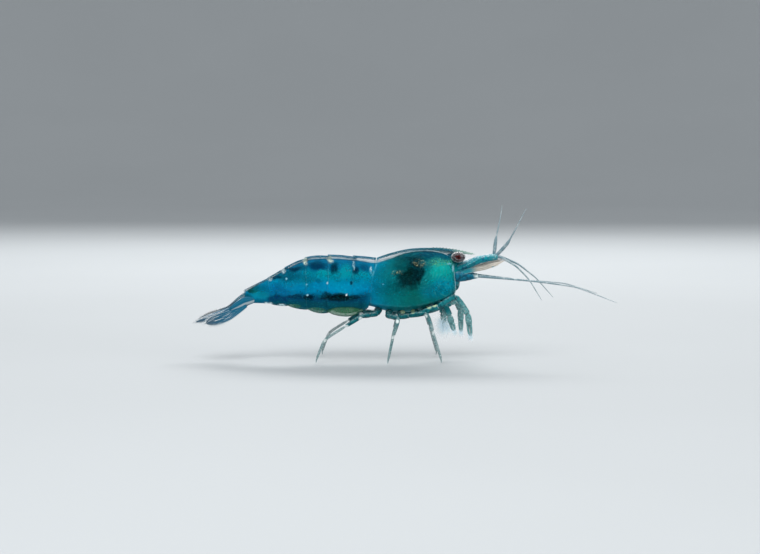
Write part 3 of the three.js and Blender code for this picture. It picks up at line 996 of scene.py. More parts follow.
@dataclass(frozen=True)
class Blade(Finish):
    """A streaked, see-through blade, such as the tail fan's: root colour, pale streaks and a clear tip."""

    root: str
    middle: str
    tip: str
    streak: str
    root_cover: float = 0.95
    tip_cover: float = 0.55
    streaks: float = 9.0
    rim: float = 0.55  # how strongly the streaks' colour lies along its edges
    fade: tuple[float, float] = (0.05, 0.45)  # shares of the length between which the root colour fades

    def lay(self, bench: Bench) -> None:
        """Lays out the streaks, the rim and how much shows through.

        Args:
            bench: The material being laid out.
        """
        u, v = bench.chart()
        across = bench.math("COSINE", bench.both(v, 2 * np.pi))
        lie = {0: bench.both(u, 3.0), 1: bench.both(across, self.streaks)}
        rays = bench.noise(1.0, 4.0, bench.node("ShaderNodeCombineXYZ", lie).outputs[0])
        colour = bench.mix(bench.rise(u, *self.fade), self.root, self.middle)
        ragged = bench.math("ADD", u, bench.both(rays, 0.5))
        colour = bench.mix(bench.rise(ragged, 0.75, 1.2), colour, self.tip)
        outer = bench.math("ADD", bench.rise(u, 0.25, 0.65, 0.8), 0.2)
        colour = bench.mix(bench.both(bench.rise(rays, 0.55, 0.67, 0.9), outer), colour, self.streak)
        rim = bench.rise(bench.math("ABSOLUTE", across), 0.9, 0.99)
        colour = bench.mix(bench.both(rim, self.rim), colour, self.streak)
        cover = bench.math("ADD", bench.fall(u, 0.2, 1.0, self.root_cover - self.tip_cover), self.tip_cover)
        dense = bench.both(bench.either(rim, bench.rise(rays, 0.5, 0.7)), 0.4)
        alpha = bench.math("ADD", cover, dense, clamp=True)
        bench.bump(rays, 22)
        bench.finish(
            Base_Color=colour, Alpha=alpha, Roughness=0.25, Specular_IOR_Level=0.1, Coat_Weight=0.2,
            Coat_Roughness=0.05,
        )


@dataclass(frozen=True)
class Limb(Finish):
    """A jointed limb: coloured at its root, clearer past a turning share, with white knobs at its joints."""

    root: str = "0A666C"
    spots: str = "064650"
    tip: str = "86A5A4"
    turn: float = 0.5
    tip_cover: float = 0.54
    knobs: float = 0.9
    edge: str = "CDE3E0"
    upward_specks: float = 0.0  # strength of the pale specks on what faces up
    # patches of colour: real marks, and painted highlights such as those on the leg bases
    marks: tuple[Spot, ...] = ()

    def lay(self, bench: Bench) -> None:
        """Lays out the mottled root, the clear end, the knobs, and the marks and painted highlights.

        Args:
            bench: The material being laid out.
        """
        u, v = bench.chart()
        mottle = bench.noise(0.28, 4.0)
        colour = bench.mix(bench.rise(mottle, 0.45, 0.62), self.root, self.spots)
        colour = bench.mix(bench.both(bench.specks(0.2, 0.5, 0.28), 0.5), colour, "2AA3A5")
        clear = bench.rise(bench.math("ADD", u, bench.both(mottle, 0.1)), self.turn, self.turn + 0.14)
        clear_colour = bench.mix(bench.cloud(0.12, 4.0, 0.42, 0.6), self.tip, "4E7F84")
        colour = bench.mix(clear, colour, clear_colour)
        from_middle = bench.math("ABSOLUTE", bench.math("SUBTRACT", v, 0.5))
        knob = bench.both(bench.rise(from_middle, 0.4, 0.47), self.knobs)
        knob = bench.both(knob, bench.rise(u, 0.02, 0.06))
        colour = bench.mix(knob, colour, self.edge)
        # The marks, and the painted highlights among them.
        for limb_spot in self.marks:
            patch = bench.spot(bench.place, (limb_spot.x, limb_spot.z), (limb_spot.length, limb_spot.height), limb_spot.soft)
            colour = bench.mix(bench.both(patch, limb_spot.strength), colour, limb_spot.colour)
        # Pale specks on faces that point up.
        _, _, up = bench.axes(bench.node("ShaderNodeTexCoord", {}).outputs["Normal"])
        upward_specks_mask = bench.rise(up, 0.3, 0.75, self.upward_specks)
        upward_specks_mask = bench.both(upward_specks_mask, bench.cloud(0.14, 5.0, 0.4, 0.65))
        colour = bench.mix(upward_specks_mask, colour, self.edge)
        flecks = bench.both(bench.specks(0.16, 0.4, 0.3), clear)
        colour = bench.mix(bench.both(flecks, 0.8), colour, "F2FBFA")
        cover = bench.math("SUBTRACT", 1.0, bench.both(clear, 1 - self.tip_cover))
        facing = bench.node("ShaderNodeLayerWeight", {"Blend": 0.3}).outputs["Facing"]
        dense = bench.math("ADD", bench.either(knob, flecks), bench.math("POWER", facing, 2.0))
        alpha = bench.math("ADD", cover, bench.both(dense, 0.4), clamp=True)
        bench.bump(bench.noise(0.08, 4.0), 8)
        bench.finish(
            Base_Color=colour, Alpha=alpha, Roughness=0.25, Specular_IOR_Level=0.08, Coat_Weight=0.2,
            Coat_Roughness=0.05, Sheen_Weight=0.12, Sheen_Roughness=0.3,
        )


@dataclass(frozen=True)
class Ringed(Finish):
    """A feeler: grey-white, ringed all along, paler and clearer to its tip."""

    name: str = "ringed_feeler"
    root: str = "6E909C"
    tip: str = "B0C0C4"
    joint: str = "425F6A"
    rings: float = 90.0

    def lay(self, bench: Bench) -> None:
        """Lays out the rings.

        Args:
            bench: The material being laid out.
        """
        u, _ = bench.chart()
        wave = bench.math("PINGPONG", bench.both(u, self.rings), 0.5)
        ring = bench.fall(wave, 0.06, 0.2)
        colour = bench.mix(u, self.root, self.tip)
        colour = bench.mix(bench.cloud(0.5, 3.0, 0.45, 0.65, 0.5), colour, "E4EEEE")
        colour = bench.mix(bench.both(ring, 0.7), colour, self.joint)
        bench.bump(wave, 12)
        alpha = bench.math("SUBTRACT", 0.96, bench.both(u, 0.12))
        bench.finish(Base_Color=colour, Alpha=alpha, Roughness=0.3, Coat_Weight=0.3, Coat_Roughness=0.1)


@dataclass(frozen=True)
class EyePaint(Finish):
    """The eyeball: a dark red centre, a mottled grey-brown ring with facets, and a whitish rim."""

    name: str = "faceted_eye"

    def lay(self, bench: Bench) -> None:
        """Lays out the rings of the eye and its facets.

        Args:
            bench: The material being laid out.
        """
        u, _ = bench.chart()
        cloud = bench.noise(0.16, 4.0)
        turn = bench.math("ADD", u, bench.both(bench.math("SUBTRACT", cloud, 0.5), 0.06))
        colour = bench.mix(bench.rise(cloud, 0.42, 0.6), "383236", "7C7A7C")
        ring = bench.both(bench.rise(turn, 0.32, 0.38), bench.rise(cloud, 0.36, 0.52))
        colour = bench.mix(ring, colour, "B6BAB8")
        colour = bench.mix(bench.rise(turn, 0.48, 0.56), colour, "1E2E34")
        colour = bench.mix(bench.fall(turn, 0.09, 0.15), colour, "48080C")
        colour = bench.mix(bench.fall(turn, 0.03, 0.08), colour, "120102")
        distance, random = bench.cells(0.06)
        colour = bench.mix(bench.rise(random, 0.4, 1.0, 0.3), colour, "2E1A18")
        bench.bump(bench.math("SUBTRACT", 1.0, distance), 10)
        bench.finish(Base_Color=colour, Roughness=0.4, Specular_IOR_Level=0.1)


@dataclass(frozen=True)
class Lens(Finish):
    """The clear cuticle over the eye: nearly invisible face on, brighter to its outline."""

    name: str = "clear_lens"

    def lay(self, bench: Bench) -> None:
        """Lays out a haze that thickens to the outline.

        Args:
            bench: The material being laid out.
        """
        weight = bench.node("ShaderNodeLayerWeight", {"Blend": 0.35}).outputs["Facing"]
        haze = bench.cloud(0.3, 3.0, 0.4, 0.8, 0.08)
        rim = bench.both(bench.math("POWER", weight, 3.0), 0.6)
        alpha = bench.math("ADD", rim, bench.both(haze, 0.5), clamp=True)
        colour = bench.mix(bench.noise(0.2), "DCE4E2", "B8C8CA")
        bench.bump(bench.cells(0.06)[0], 2)
        bench.finish(Base_Color=colour, Alpha=alpha, Roughness=0.04, Coat_Weight=1.0, Coat_Roughness=0.02)


@dataclass(frozen=True)
class Bristle(Finish):
    """Fine setae: whitish, paler to their tips."""

    name: str = "white_setae"
    root: str = "B8CDD0"
    tip: str = "F1F6F5"
    glow: float = 0.0  # light of its own, for what light scatters on from hair to hair in a thick tuft

    def lay(self, bench: Bench) -> None:
        """Lays out the hairs' colour and the light that passes through them.

        Args:
            bench: The material being laid out.
        """
        u, _ = bench.chart()
        colour = bench.mix(u, self.root, self.tip)
        colour = bench.mix(bench.cloud(0.4, 2.0, 0.4, 0.7, 0.4), colour, "93B4BA")
        bench.finish(
            Base_Color=colour, Roughness=0.5, Specular_IOR_Level=0.3, Subsurface_Weight=0.7,
            Subsurface_Radius=(1.0, 1.0, 1.0), Subsurface_Scale=0.0003, Emission_Color="E6F4FA",
            Emission_Strength=self.glow,
        )


@dataclass(frozen=True)
class FloorPaint(Finish):
    """The matt paint of the floor, a little cloudy."""

    name: str = "pale_floor"
    light: str = "B8BCBE"
    dark: str = "B6BABC"

    def lay(self, bench: Bench) -> None:
        """Lays out the clouds.

        Args:
            bench: The material being laid out.
        """
        colour = bench.mix(bench.cloud(60.0, 2.0, 0.3, 0.7), self.light, self.dark)
        bench.finish(Base_Color=colour, Roughness=0.75)


# ---- Making pieces ----


@dataclass
class Workshop:
    """Turns surfaces into pieces of the model, and finishes into materials."""

    stance: Stance
    made: list[str] = field(default_factory=list)
    materials: dict[Finish, bpy.types.Material] = field(default_factory=dict)

    def material(self, finish: Finish) -> bpy.types.Material:
        """A finish's material, which is made when it is first asked for."""
        if finish not in self.materials:
            self.materials[finish] = finish.made(self.stance)
        return self.materials[finish]

    def mesh(self, name: str, surface: Surface) -> bpy.types.Object:
        """A surface as an object at the origin, with its place in its mesh.

        Args:
            name: The object's name.
            surface: The surface. Its chart and its patch become UV maps.

        Returns:
            The object.
        """
        mesh = bpy.data.meshes.new(name)
        corners = surface.faces >= 0
        sizes = corners.sum(1)
        mesh.vertices.add(len(surface.points))
        mesh.vertices.foreach_set("co", self.stance.place(surface.points).astype(np.float32).ravel())
        mesh.loops.add(int(sizes.sum()))
        mesh.loops.foreach_set("vertex_index", surface.faces[corners].astype(np.int32))
        mesh.polygons.add(len(sizes))
        mesh.polygons.foreach_set("loop_start", (np.cumsum(sizes) - sizes).astype(np.int32))
        mesh.polygons.foreach_set("use_smooth", np.ones(len(sizes), bool))
        mesh.update(calc_edges=True)
        for layer, values in (("Chart", surface.chart), ("OFBake", surface.patch)):
            if values is not None:
                uv = mesh.uv_layers.new(name=layer)
                uv.data.foreach_set("uv", values[corners].astype(np.float32).ravel())
        piece = bpy.data.objects.new(name, mesh)
        bpy.context.scene.collection.objects.link(piece)
        return piece

    def piece(
        self, name: str, surface: Surface, finish: Finish, slot: Slot, replaces: Sequence[str] = ()
    ) -> bpy.types.Object:
        """Makes one piece of the animal.

        Args:
            name: The piece's name.
            surface: Its shape.
            finish: Its finish.
            slot: The material slot of the record that it belongs to; not used.
            replaces: The CAD nodes that it stands for.

        Returns:
            The piece, riding on the body.
        """
        made = self.mesh(name, surface)
        made.data.materials.append(self.material(finish))
        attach(made, "root")
        if replaces:
            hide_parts(*replaces)
        self.made.append(name)
        LOG.info("%s: %d points, %d faces", name, len(surface.points), len(surface.faces))
        return made


# ---- The body ----


@dataclass(frozen=True)
class Station:
    """One section of the body: x and z of its back and of its underside, and its half width."""

    back: tuple[float, float]
    belly: tuple[float, float]
    half_width: float


def read_stations(stations: Sequence[Station], shares: Array) -> tuple[Array, Array, Array]:
    """The back, the underside (each x and z) and the half width at shares along some stations."""
    read = hermite([(*s.back, *s.belly, s.half_width) for s in stations], shares)
    return read[..., 0:2], read[..., 2:4], read[..., 4]


def section_points(back: Array, belly: Array, half_width: Array, across: Array, up: Array) -> Array:
    """Points of body sections.

    The point is the middle of back and underside, plus up times half their gap, and y is across half widths.

    Args:
        back: x and z of the back, one row for each section or point.
        belly: x and z of the underside.
        half_width: The half widths.
        across: Share across, from -1 to 1.
        up: Share up, from -1 to 1.

    Returns:
        The points.
    """
    middle, half = (back + belly) / 2, (back - belly) / 2
    x = middle[..., 0] + half[..., 0] * up
    z = middle[..., 1] + half[..., 1] * up
    return grid_points(x, half_width * across, z)


WALL_TURN = np.radians(125.0)  # how far a shell plate reaches round the body from the middle of the back
BOXY = 0.8  # the power that fills out an ellipse's shoulders
TERGITES = 6


def swell(values: Array) -> Array:
    """Each value's size to the power BOXY, with its sign kept."""
    return np.sign(values) * np.abs(values) ** BOXY


@dataclass
class Trunk:
    """The body: one skin of flesh from the head to the end of the tail, under a carapace and six tergites."""

    shop: Workshop
    flesh: Flesh = Flesh()
    cuticle: Cuticle = Cuticle()
    # The carapace's shell, with the painted highlight along its front edge.
    head_cuticle: Cuticle = Cuticle("head_cuticle", front=1.0)
    wall: float = 0.06  # thickness of a shell plate
    overlap: float = 0.02  # how far a tergite reaches back over the next one, as a share of the tail
    flare: float = 0.05  # how much wider a tergite's rear edge is than its front one
    corner: float = 0.12  # how much a side plate narrows at its lower edge, which rounds its corners
    bead: float = 0.04  # how much thicker a tergite is at its rear edge
    edge_bead: float = 0.05  # how much thicker the carapace is at its front and rear edges
    lobes: tuple = (0.24, 0.5, 0.36, 0.26, 0.18, 0.0)  # how far each side plate reaches down
    reach_back: tuple = (0.0, 0.034, 0.03, 0.025, 0.02, 0.0)  # how far each side plate spreads to the rear
    reach_front: tuple = (0.0, 0.07, 0.0, 0.0, 0.0, 0.0)  # how far it spreads to the front
    tail: tuple = (
        Station((-12.35, 6.82), (-12.0, 5.66), 0.6),
        Station((-9.7, 8.18), (-9.3, 5.6), 1.08),
        Station((-8.12, 9.12), (-7.7, 5.5), 1.48),
        Station((-6.1, 10.0), (-5.65, 5.18), 1.82),
        Station((-3.8, 10.2), (-3.65, 4.98), 2.02),
        Station((-1.35, 10.1), (-1.45, 4.95), 2.08),
        Station((0.62, 10.02), (-0.05, 5.38), 2.02),
    )
    chest: tuple = (
        Station((0.72, 10.05), (0.08, 5.62), 2.02),
        Station((2.1, 10.5), (1.9, 5.36), 2.18),
        Station((3.8, 10.89), (3.65, 5.3), 2.28),
        Station((5.5, 11.0), (5.45, 5.58), 2.22),
        Station((7.0, 10.95), (7.2, 6.12), 1.9),
        Station((7.9, 10.82), (8.25, 6.86), 1.5),
        Station((8.15, 10.7), (8.55, 7.75), 1.05),
    )
    inside: tuple = (
        Station((-12.5, 6.66), (-12.2, 5.76), 0.45),
        Station((-9.7, 8.1), (-9.3, 5.72), 0.97),
        Station((-8.12, 9.02), (-7.7, 5.75), 1.36),
        Station((-6.1, 9.9), (-5.65, 5.5), 1.68),
        Station((-3.8, 10.06), (-3.65, 5.42), 1.86),
        Station((-1.35, 9.9), (-1.45, 5.4), 1.9),
        Station((0.5, 9.64), (0.1, 5.3), 1.84),
        Station((2.1, 10.1), (1.9, 4.78), 1.98),
        Station((3.6, 10.64), (3.6, 4.72), 2.08),
        Station((5.4, 10.83), (5.45, 5.06), 2.02),
        Station((7.0, 10.6), (7.2, 6.0), 1.66),
        Station((8.0, 10.1), (8.2, 7.0), 1.15),
        Station((8.7, 9.7), (8.75, 7.55), 0.88),
        Station((9.15, 9.35), (9.12, 7.95), 0.66),
    )

    def skin(self) -> Surface:
        """The flesh: boxy ellipses along the inside stations, rounded off at both ends by a square root.

        Returns:
            The closed surface.
        """
        rows, columns = 220, 72
        share = (1 - np.cos(np.linspace(0, 1, rows) * np.pi)) / 2 * 0.25 + np.linspace(0, 1, rows) * 0.75
        back, belly, half = read_stations(self.inside, share)
        close, turn = blunt(share, 60, 0.0004)[:, None], turns(columns)
        across, up = swell(np.sin(turn)) * close, np.cos(turn) * close
        return tube(section_points(back[:, None], belly[:, None], half[:, None], across, up), share)

    def arch(self, rows: int, columns: int) -> tuple[Array, Array]:
        """Shares along and angles round a plate, as two grids."""
        return np.meshgrid(np.linspace(0, 1, rows), np.linspace(-1, 1, columns) * WALL_TURN, indexing="ij")

    def wall_shares(self, bend: Array, lobe: Array | float = 0.0) -> tuple[Array, Array]:
        """How far across and up a plate's wall is at an angle. Its lower half stretches down by a lobe."""
        up = np.cos(bend)
        return swell(np.sin(bend)), np.where(up > 0, up, up / -np.cos(WALL_TURN) * (1 + lobe))

    def tergite(self, number: int) -> Surface:
        """One tergite: an arched plate that widens to its rear edge, with a rounded lobe down each side.

        Args:
            number: Its number, counted from the carapace.

        Returns:
            The plate, whose chart runs from its rear edge to its front edge and round the body.
        """
        along, bend = self.arch(44, 96)
        low = ramp(np.abs(bend), np.radians(80), WALL_TURN)
        start = max((TERGITES - number) / TERGITES - self.overlap, 0.0)
        end = (TERGITES + 1 - number) / TERGITES + 0.3 * self.overlap
        start = start - self.reach_back[number - 1] * low
        end = end + self.reach_front[number - 1] * low
        round_off = 1 - self.corner * low**3 * (number < TERGITES)
        share = (start + end) / 2 + (along - 0.5) * (end - start) * round_off
        back, belly, half = read_stations(self.tail, share)
        height = back[..., 1] - belly[..., 1]
        lobe = self.lobes[number - 1] * np.sin(np.pi * along) ** 0.5 * 2 / height
        across, up = self.wall_shares(bend, lobe)
        flare = self.flare * (1 - along) ** 2 * (1 - low * (number == 1))
        wide = 1.012 + flare + 0.045 * (number == 2) * low
        lift = 0.02 * bell(along, 0.5, 0.32) * (1 - low)
        spread = wide + lift
        sheet = section_points(back, belly, half, across * spread, np.where(up > 0, up * spread, up))
        return plate(sheet, self.wall + self.bead * bell(along, 0.0, 0.03))

    def carapace(self) -> Surface:
        """The carapace: an arched plate with an orbit, a spine below it and a rounded cheek at its front.

        Each moves the front edge by a bell curve round an angle from the middle of the back, in degrees.

        Returns:
            The plate.
        """
        along, bend = self.arch(110, 120)
        along = 1 - (1 - along) ** 1.25
        back, belly, half = read_stations(self.chest, along)
        across, up = self.wall_shares(bend)
        groove = 0.02 * bell(along - 0.1 * np.cos(bend), 0.62, 0.02) * ramp(np.abs(bend), 0.5, 0.9)
        cheek = 0.03 * bell(along, 0.45, 0.3) * bell(np.abs(bend), np.radians(95), 0.5)
        wide = 1.01 + cheek - groove
        sheet = section_points(back, belly, half, across * wide, up * np.where(up > 0, 1.005, 1.0))
        turned = np.degrees(np.abs(bend))
        front = ramp(along, 0.86, 1.0) ** 2
        orbit = -0.5 * bell(turned, 48, 15)
        spine = 0.42 * bell(turned, 76, 4.5)
        hollow = -0.42 * bell(turned, 104, 12)
        cheek_corner = -0.35 * ramp(turned, 114, 125)
        sheet[..., 0] += front * (orbit + spine + hollow + cheek_corner)
        rear_bulge = 0.35 * bell(turned, 88, 34)
        sheet[..., 0] -= ramp(1 - along, 0.9, 1.0) * rear_bulge
        bead = self.edge_bead * np.maximum(bell(along, 0.0, 0.012), bell(along, 1.0, 0.012))
        return plate(sheet, self.wall + bead)

    def build(self) -> None:
        """Makes the body's pieces."""
        self.shop.piece("body_skin", self.skin(), self.flesh, Slot.FLESH, ["thorax", "head_front"])
        self.shop.piece("carapace_shell", self.carapace(), self.head_cuticle, Slot.SHELL, ["carapace"])
        for number in range(1, TERGITES + 1):
            name = f"tergite_{number}"
            self.shop.piece(f"{name}_shell", self.tergite(number), self.cuticle, Slot.SHELL, [name])


@dataclass
class Rostrum:
    """The toothed blade over the eyes, which runs back into a low keel on the carapace."""

    shop: Workshop
    finish: Blade = Blade(
        "rostrum_blade", root="0E5C68", middle="2C7A82", tip="9CC4B4", streak="F0DCD2", root_cover=0.6,
        tip_cover=0.7,
    )
    root: float = 4.6
    tip: float = 10.35
    tip_height: float = 10.4
    free: float = 6.2  # x at which it rises clear of the carapace, in front of its keel
    arch: float = 0.64  # height of its crest over its tip
    keel_drop: float = 0.09
    half_thickness: float = 0.085
    upper_teeth: int = 13
    first_tooth: float = 6.0
    lower_teeth: int = 3
    first_lower_tooth: float = 9.1
    tooth_height: float = 0.1

    def surface(self) -> Surface:
        """The blade: thin lens sections between a toothed upper edge and a lower edge that rises to the tip.

        The upper edge is the tip's height plus the arch times cos(share * quarter turn)^0.9. A tooth climbs
        with the square of its own share and then drops.

        Returns:
            The closed surface.
        """
        x = np.linspace(self.root, self.tip, 420)
        outer = np.clip((x - self.free) / (self.tip - self.free), 0, 1)
        edge = self.tip_height + self.arch * np.cos(outer * np.pi / 2) ** 0.9
        keel = -self.keel_drop * (np.maximum(self.free - x, 0) / (self.free - self.root)) ** 1.3
        tooth = self.teeth(x, self.first_tooth, self.tip - 0.25 - self.first_tooth, self.upper_teeth)
        upper = edge + keel + self.tooth_height * tooth * np.interp(outer, (0, 0.5, 1), (0.7, 1.0, 0.5))
        lower = np.interp(x, (4.6, 7.9, 8.5, 9.2, 9.8, 10.35), (10.6, 10.5, 10.52, 10.44, 10.37, 10.39))
        low_tooth = self.teeth(x, self.first_lower_tooth, 0.9, self.lower_teeth)
        lower = np.minimum(lower - 0.05 * low_tooth, upper - 0.02)
        turn = turns(20)
        thick = self.half_thickness * np.interp(outer, (0, 0.8, 1), (1.0, 0.6, 0.2))[:, None]
        middle, half = ((upper + lower) / 2)[:, None], ((upper - lower) / 2)[:, None]
        y = thick * np.sin(turn) * np.abs(np.sin(turn)) ** 0.3
        return tube(grid_points(x[:, None], y, middle + half * np.cos(turn)))

    def teeth(self, x: Array, start: float, length: float, count: int) -> Array:
        """The height of a row of teeth, as a share of one tooth, where the row has a start and a length."""
        run = (x - start) / length * count
        return np.where((run > 0) & (run < count), (run % 1.0) ** 2, 0.0)

    def build(self) -> None:
        """Makes the rostrum."""
        self.shop.piece("rostrum", self.surface(), self.finish, Slot.SHELL)


# ---- Eyes ----


@dataclass
class Eyes:
    """Two stalked eyes, each a faceted ball under a clear lens."""

    shop: Workshop
    radius: float = 0.73
    x: float = 8.62
    y: float = 1.16
    z: float = 10.17
    lens_gap: float = 0.035
    height: float = 0.74
    paint: EyePaint = EyePaint()
    lens: Lens = Lens()
    stalk: Limb = Limb("eye_stalk", root="1B7C86", spots="0C4B57", tip="4A8C92", turn=2.0, knobs=0.0)

    def stalk_surface(self, side: Side) -> Surface:
        """The stalk: a rod from the head that widens to a cup round the back of the eye.

        Args:
            side: The eye's side.

        Returns:
            The closed surface.
        """
        y = side.value
        share = np.linspace(0, 1, 24)
        path = route([(8.45, y * 0.15, 9.62), (8.72, y * 0.6, 9.86), (self.x, y * 0.98, self.z)], share)
        return rod(path, hermite([0.3, 0.33, 0.42, 0.52, 0.5], share), 24, lean=(1, 0, 0))

    def build(self) -> None:
        """Makes the eyes, lenses and stalks."""
        for side in Side:
            centre, axis = (self.x, side.value * self.y, self.z), (0.0, side.value, 0.05)
            node = f"eye_{side.label}"
            eyeball = ball(centre, self.radius - self.lens_gap, axis, height=self.height)
            self.shop.piece(f"eyeball_{side.label}", eyeball, self.paint, Slot.EYES, [node])
            lens_ball = ball(centre, self.radius, axis, height=self.height)
            self.shop.piece(f"eye_lens_{side.label}", lens_ball, self.lens, Slot.EYES)
            node = f"eyestalk_{side.label}"
            stalk = self.stalk_surface(side)
            self.shop.piece(f"eye_stalk_{side.label}", stalk, self.stalk, Slot.FLESH, [node])


# ---- Limbs ----


@dataclass(frozen=True)
class Segment:
    """One segment of a limb: the joint number where it ends, and its radii at its root, middle and end."""

    end: float
    radii: tuple[float, float, float]
    flat: float = 1.0
    neck: float = 0.3  # how much it narrows at its root


def segment_surfaces(
    points: Sequence, segments: Sequence[Segment], lean: Sequence, sides: int = 16
) -> list[Surface]:
    """Each segment of a limb as a closed rod along its own stretch of the limb's route.

    A segment's radius is a smooth line through its three radii, narrowed at its root as it comes out of the
    one before, widened a little at its end, and rounded off at both ends by the square root of
    1 - |2t - 1|^14, or ^50 where the neck is slight.

    Args:
        points: The limb's joints.
        segments: The segments, from the root to the tip.
        lean: The direction that the sections' width lies in.
        sides: Points round a section.

    Returns:
        The surfaces. Their chart gives the share of the limb, and the share of the segment.
    """
    joints = joint_shares(points)
    made = []
    start = 0.0
    for segment in segments:
        end = float(np.interp(segment.end, np.arange(len(joints)), joints))
        t = (1 - np.cos(np.linspace(0.02, 0.98, 22) * np.pi)) / 2
        slack = 0.012 if segment.neck > 0.2 else 0.025
        path = route(points, start - slack * (start > 0) + (end + slack * (end < 1) - start) * t)
        reach = hermite(segment.radii, t) * (1 - segment.neck * (1 - ramp(t, 0.0, 0.16)))
        reach = reach * (1 + 0.45 * segment.neck * ramp(t, 0.86, 0.97))
        reach = reach * blunt(t, 14 if segment.neck > 0.2 else 50)
        body = rod(path, reach, sides, segment.flat, lean)
        body.chart[..., 1] = body.chart[..., 0]
        body.chart[..., 0] = start + (end - start) * body.chart[..., 0]
        made.append(body)
        start = end
    return made


@dataclass(frozen=True)
class LegPlan:
    """A pair of legs: its joints, its segments, and how much further forward the left tip is."""

    name: str
    joints: tuple
    segments: tuple[Segment, ...]
    ahead: float
    claw: bool = False

    def points(self, side: Side) -> Array:
        """The joints on one side, where the swing forwards grows from nothing at the root to all at the tip.

        Args:
            side: The side.

        Returns:
            The joints.
        """
        joints = np.array(self.joints, float)
        swing = self.ahead * (np.arange(len(joints)) / (len(joints) - 1)) ** 1.5
        joints[:, 0] += swing * (side is Side.LEFT)
        joints[:, 1] *= side.value
        return joints


CLAWED_HIP = (Segment(0.6, (0.34, 0.36, 0.32)), Segment(1.0, (0.3, 0.31, 0.29)))
HIP = (
    Segment(0.55, (0.34, 0.36, 0.33)),
    Segment(1.0, (0.28, 0.28, 0.26)),
    Segment(1.32, (0.23, 0.24, 0.22)),
    Segment(2.0, (0.2, 0.25, 0.19)),
)
WALKING = (
    *HIP,
    Segment(2.99, (0.19, 0.21, 0.17)),
    Segment(4.0, (0.125, 0.14, 0.11)),
    Segment(5.0, (0.085, 0.06, 0.02)),
)
REAR_WALKING = (
    *HIP,
    Segment(3.0, (0.19, 0.21, 0.17)),
    Segment(5.0, (0.125, 0.14, 0.11)),
    Segment(6.0, (0.085, 0.06, 0.02)),
)
LEGS = (
    LegPlan(
        "leg_1",
        ((5.35, 0.55, 5.28), (5.6, 0.95, 4.85), (7.3, 1.5, 5.45), (7.75, 1.62, 4.5), (8.25, 1.55, 2.95)),
        (
            *CLAWED_HIP,
            Segment(2.0, (0.26, 0.31, 0.26)),
            Segment(3.0, (0.24, 0.3, 0.33)),
        ),
        ahead=-0.8,
        claw=True,
    ),
    LegPlan(
        "leg_2",
        (
            (4.3, 0.55, 5.05), (4.7, 1.2, 4.6), (6.7, 2.3, 5.45),
            (8.35, 2.5, 6.4), (9.5, 2.4, 4.7), (9.8, 2.25, 2.5),
        ),
        (
            *CLAWED_HIP,
            Segment(2.0, (0.26, 0.3, 0.25)),
            Segment(3.0, (0.23, 0.28, 0.25)),
            Segment(4.0, (0.22, 0.27, 0.3)),
        ),
        ahead=-0.75,
        claw=True,
    ),
    LegPlan(
        "leg_3",
        (
            (3.15, 0.55, 4.96), (3.1, 1.3, 4.35), (5.45, 2.85, 4.75),
            (6.1, 3.3, 3.1), (6.9, 3.7, 0.45), (6.95, 3.72, 0.0),
        ),
        WALKING,
        ahead=-0.35,
    ),
    LegPlan(
        "leg_4",
        (
            (2.05, 0.55, 5.0), (1.8, 1.4, 4.45), (2.75, 3.2, 4.3),
            (2.3, 3.9, 2.75), (1.8, 4.4, 0.45), (1.77, 4.42, 0.0),
        ),
        WALKING,
        ahead=0.35,
    ),
    LegPlan(
        "leg_5",
        (
            (0.95, 0.55, 5.1), (0.55, 1.25, 4.6), (-0.75, 2.6, 4.5), (-2.3, 3.2, 3.6),
            (-4.3, 3.6, 2.3), (-5.1, 3.75, 0.45), (-5.15, 3.76, 0.0),
        ),
        REAR_WALKING,
        ahead=0.45,
    ),
)


@dataclass(frozen=True)
class Brush:
    """A brush at a fingertip: its count of hairs, their length, their stray, and how far up they grow."""

    count: int
    length: float
    stray: float
    cover: float
    ahead: float = 1.0  # how strongly the hairs point along the finger


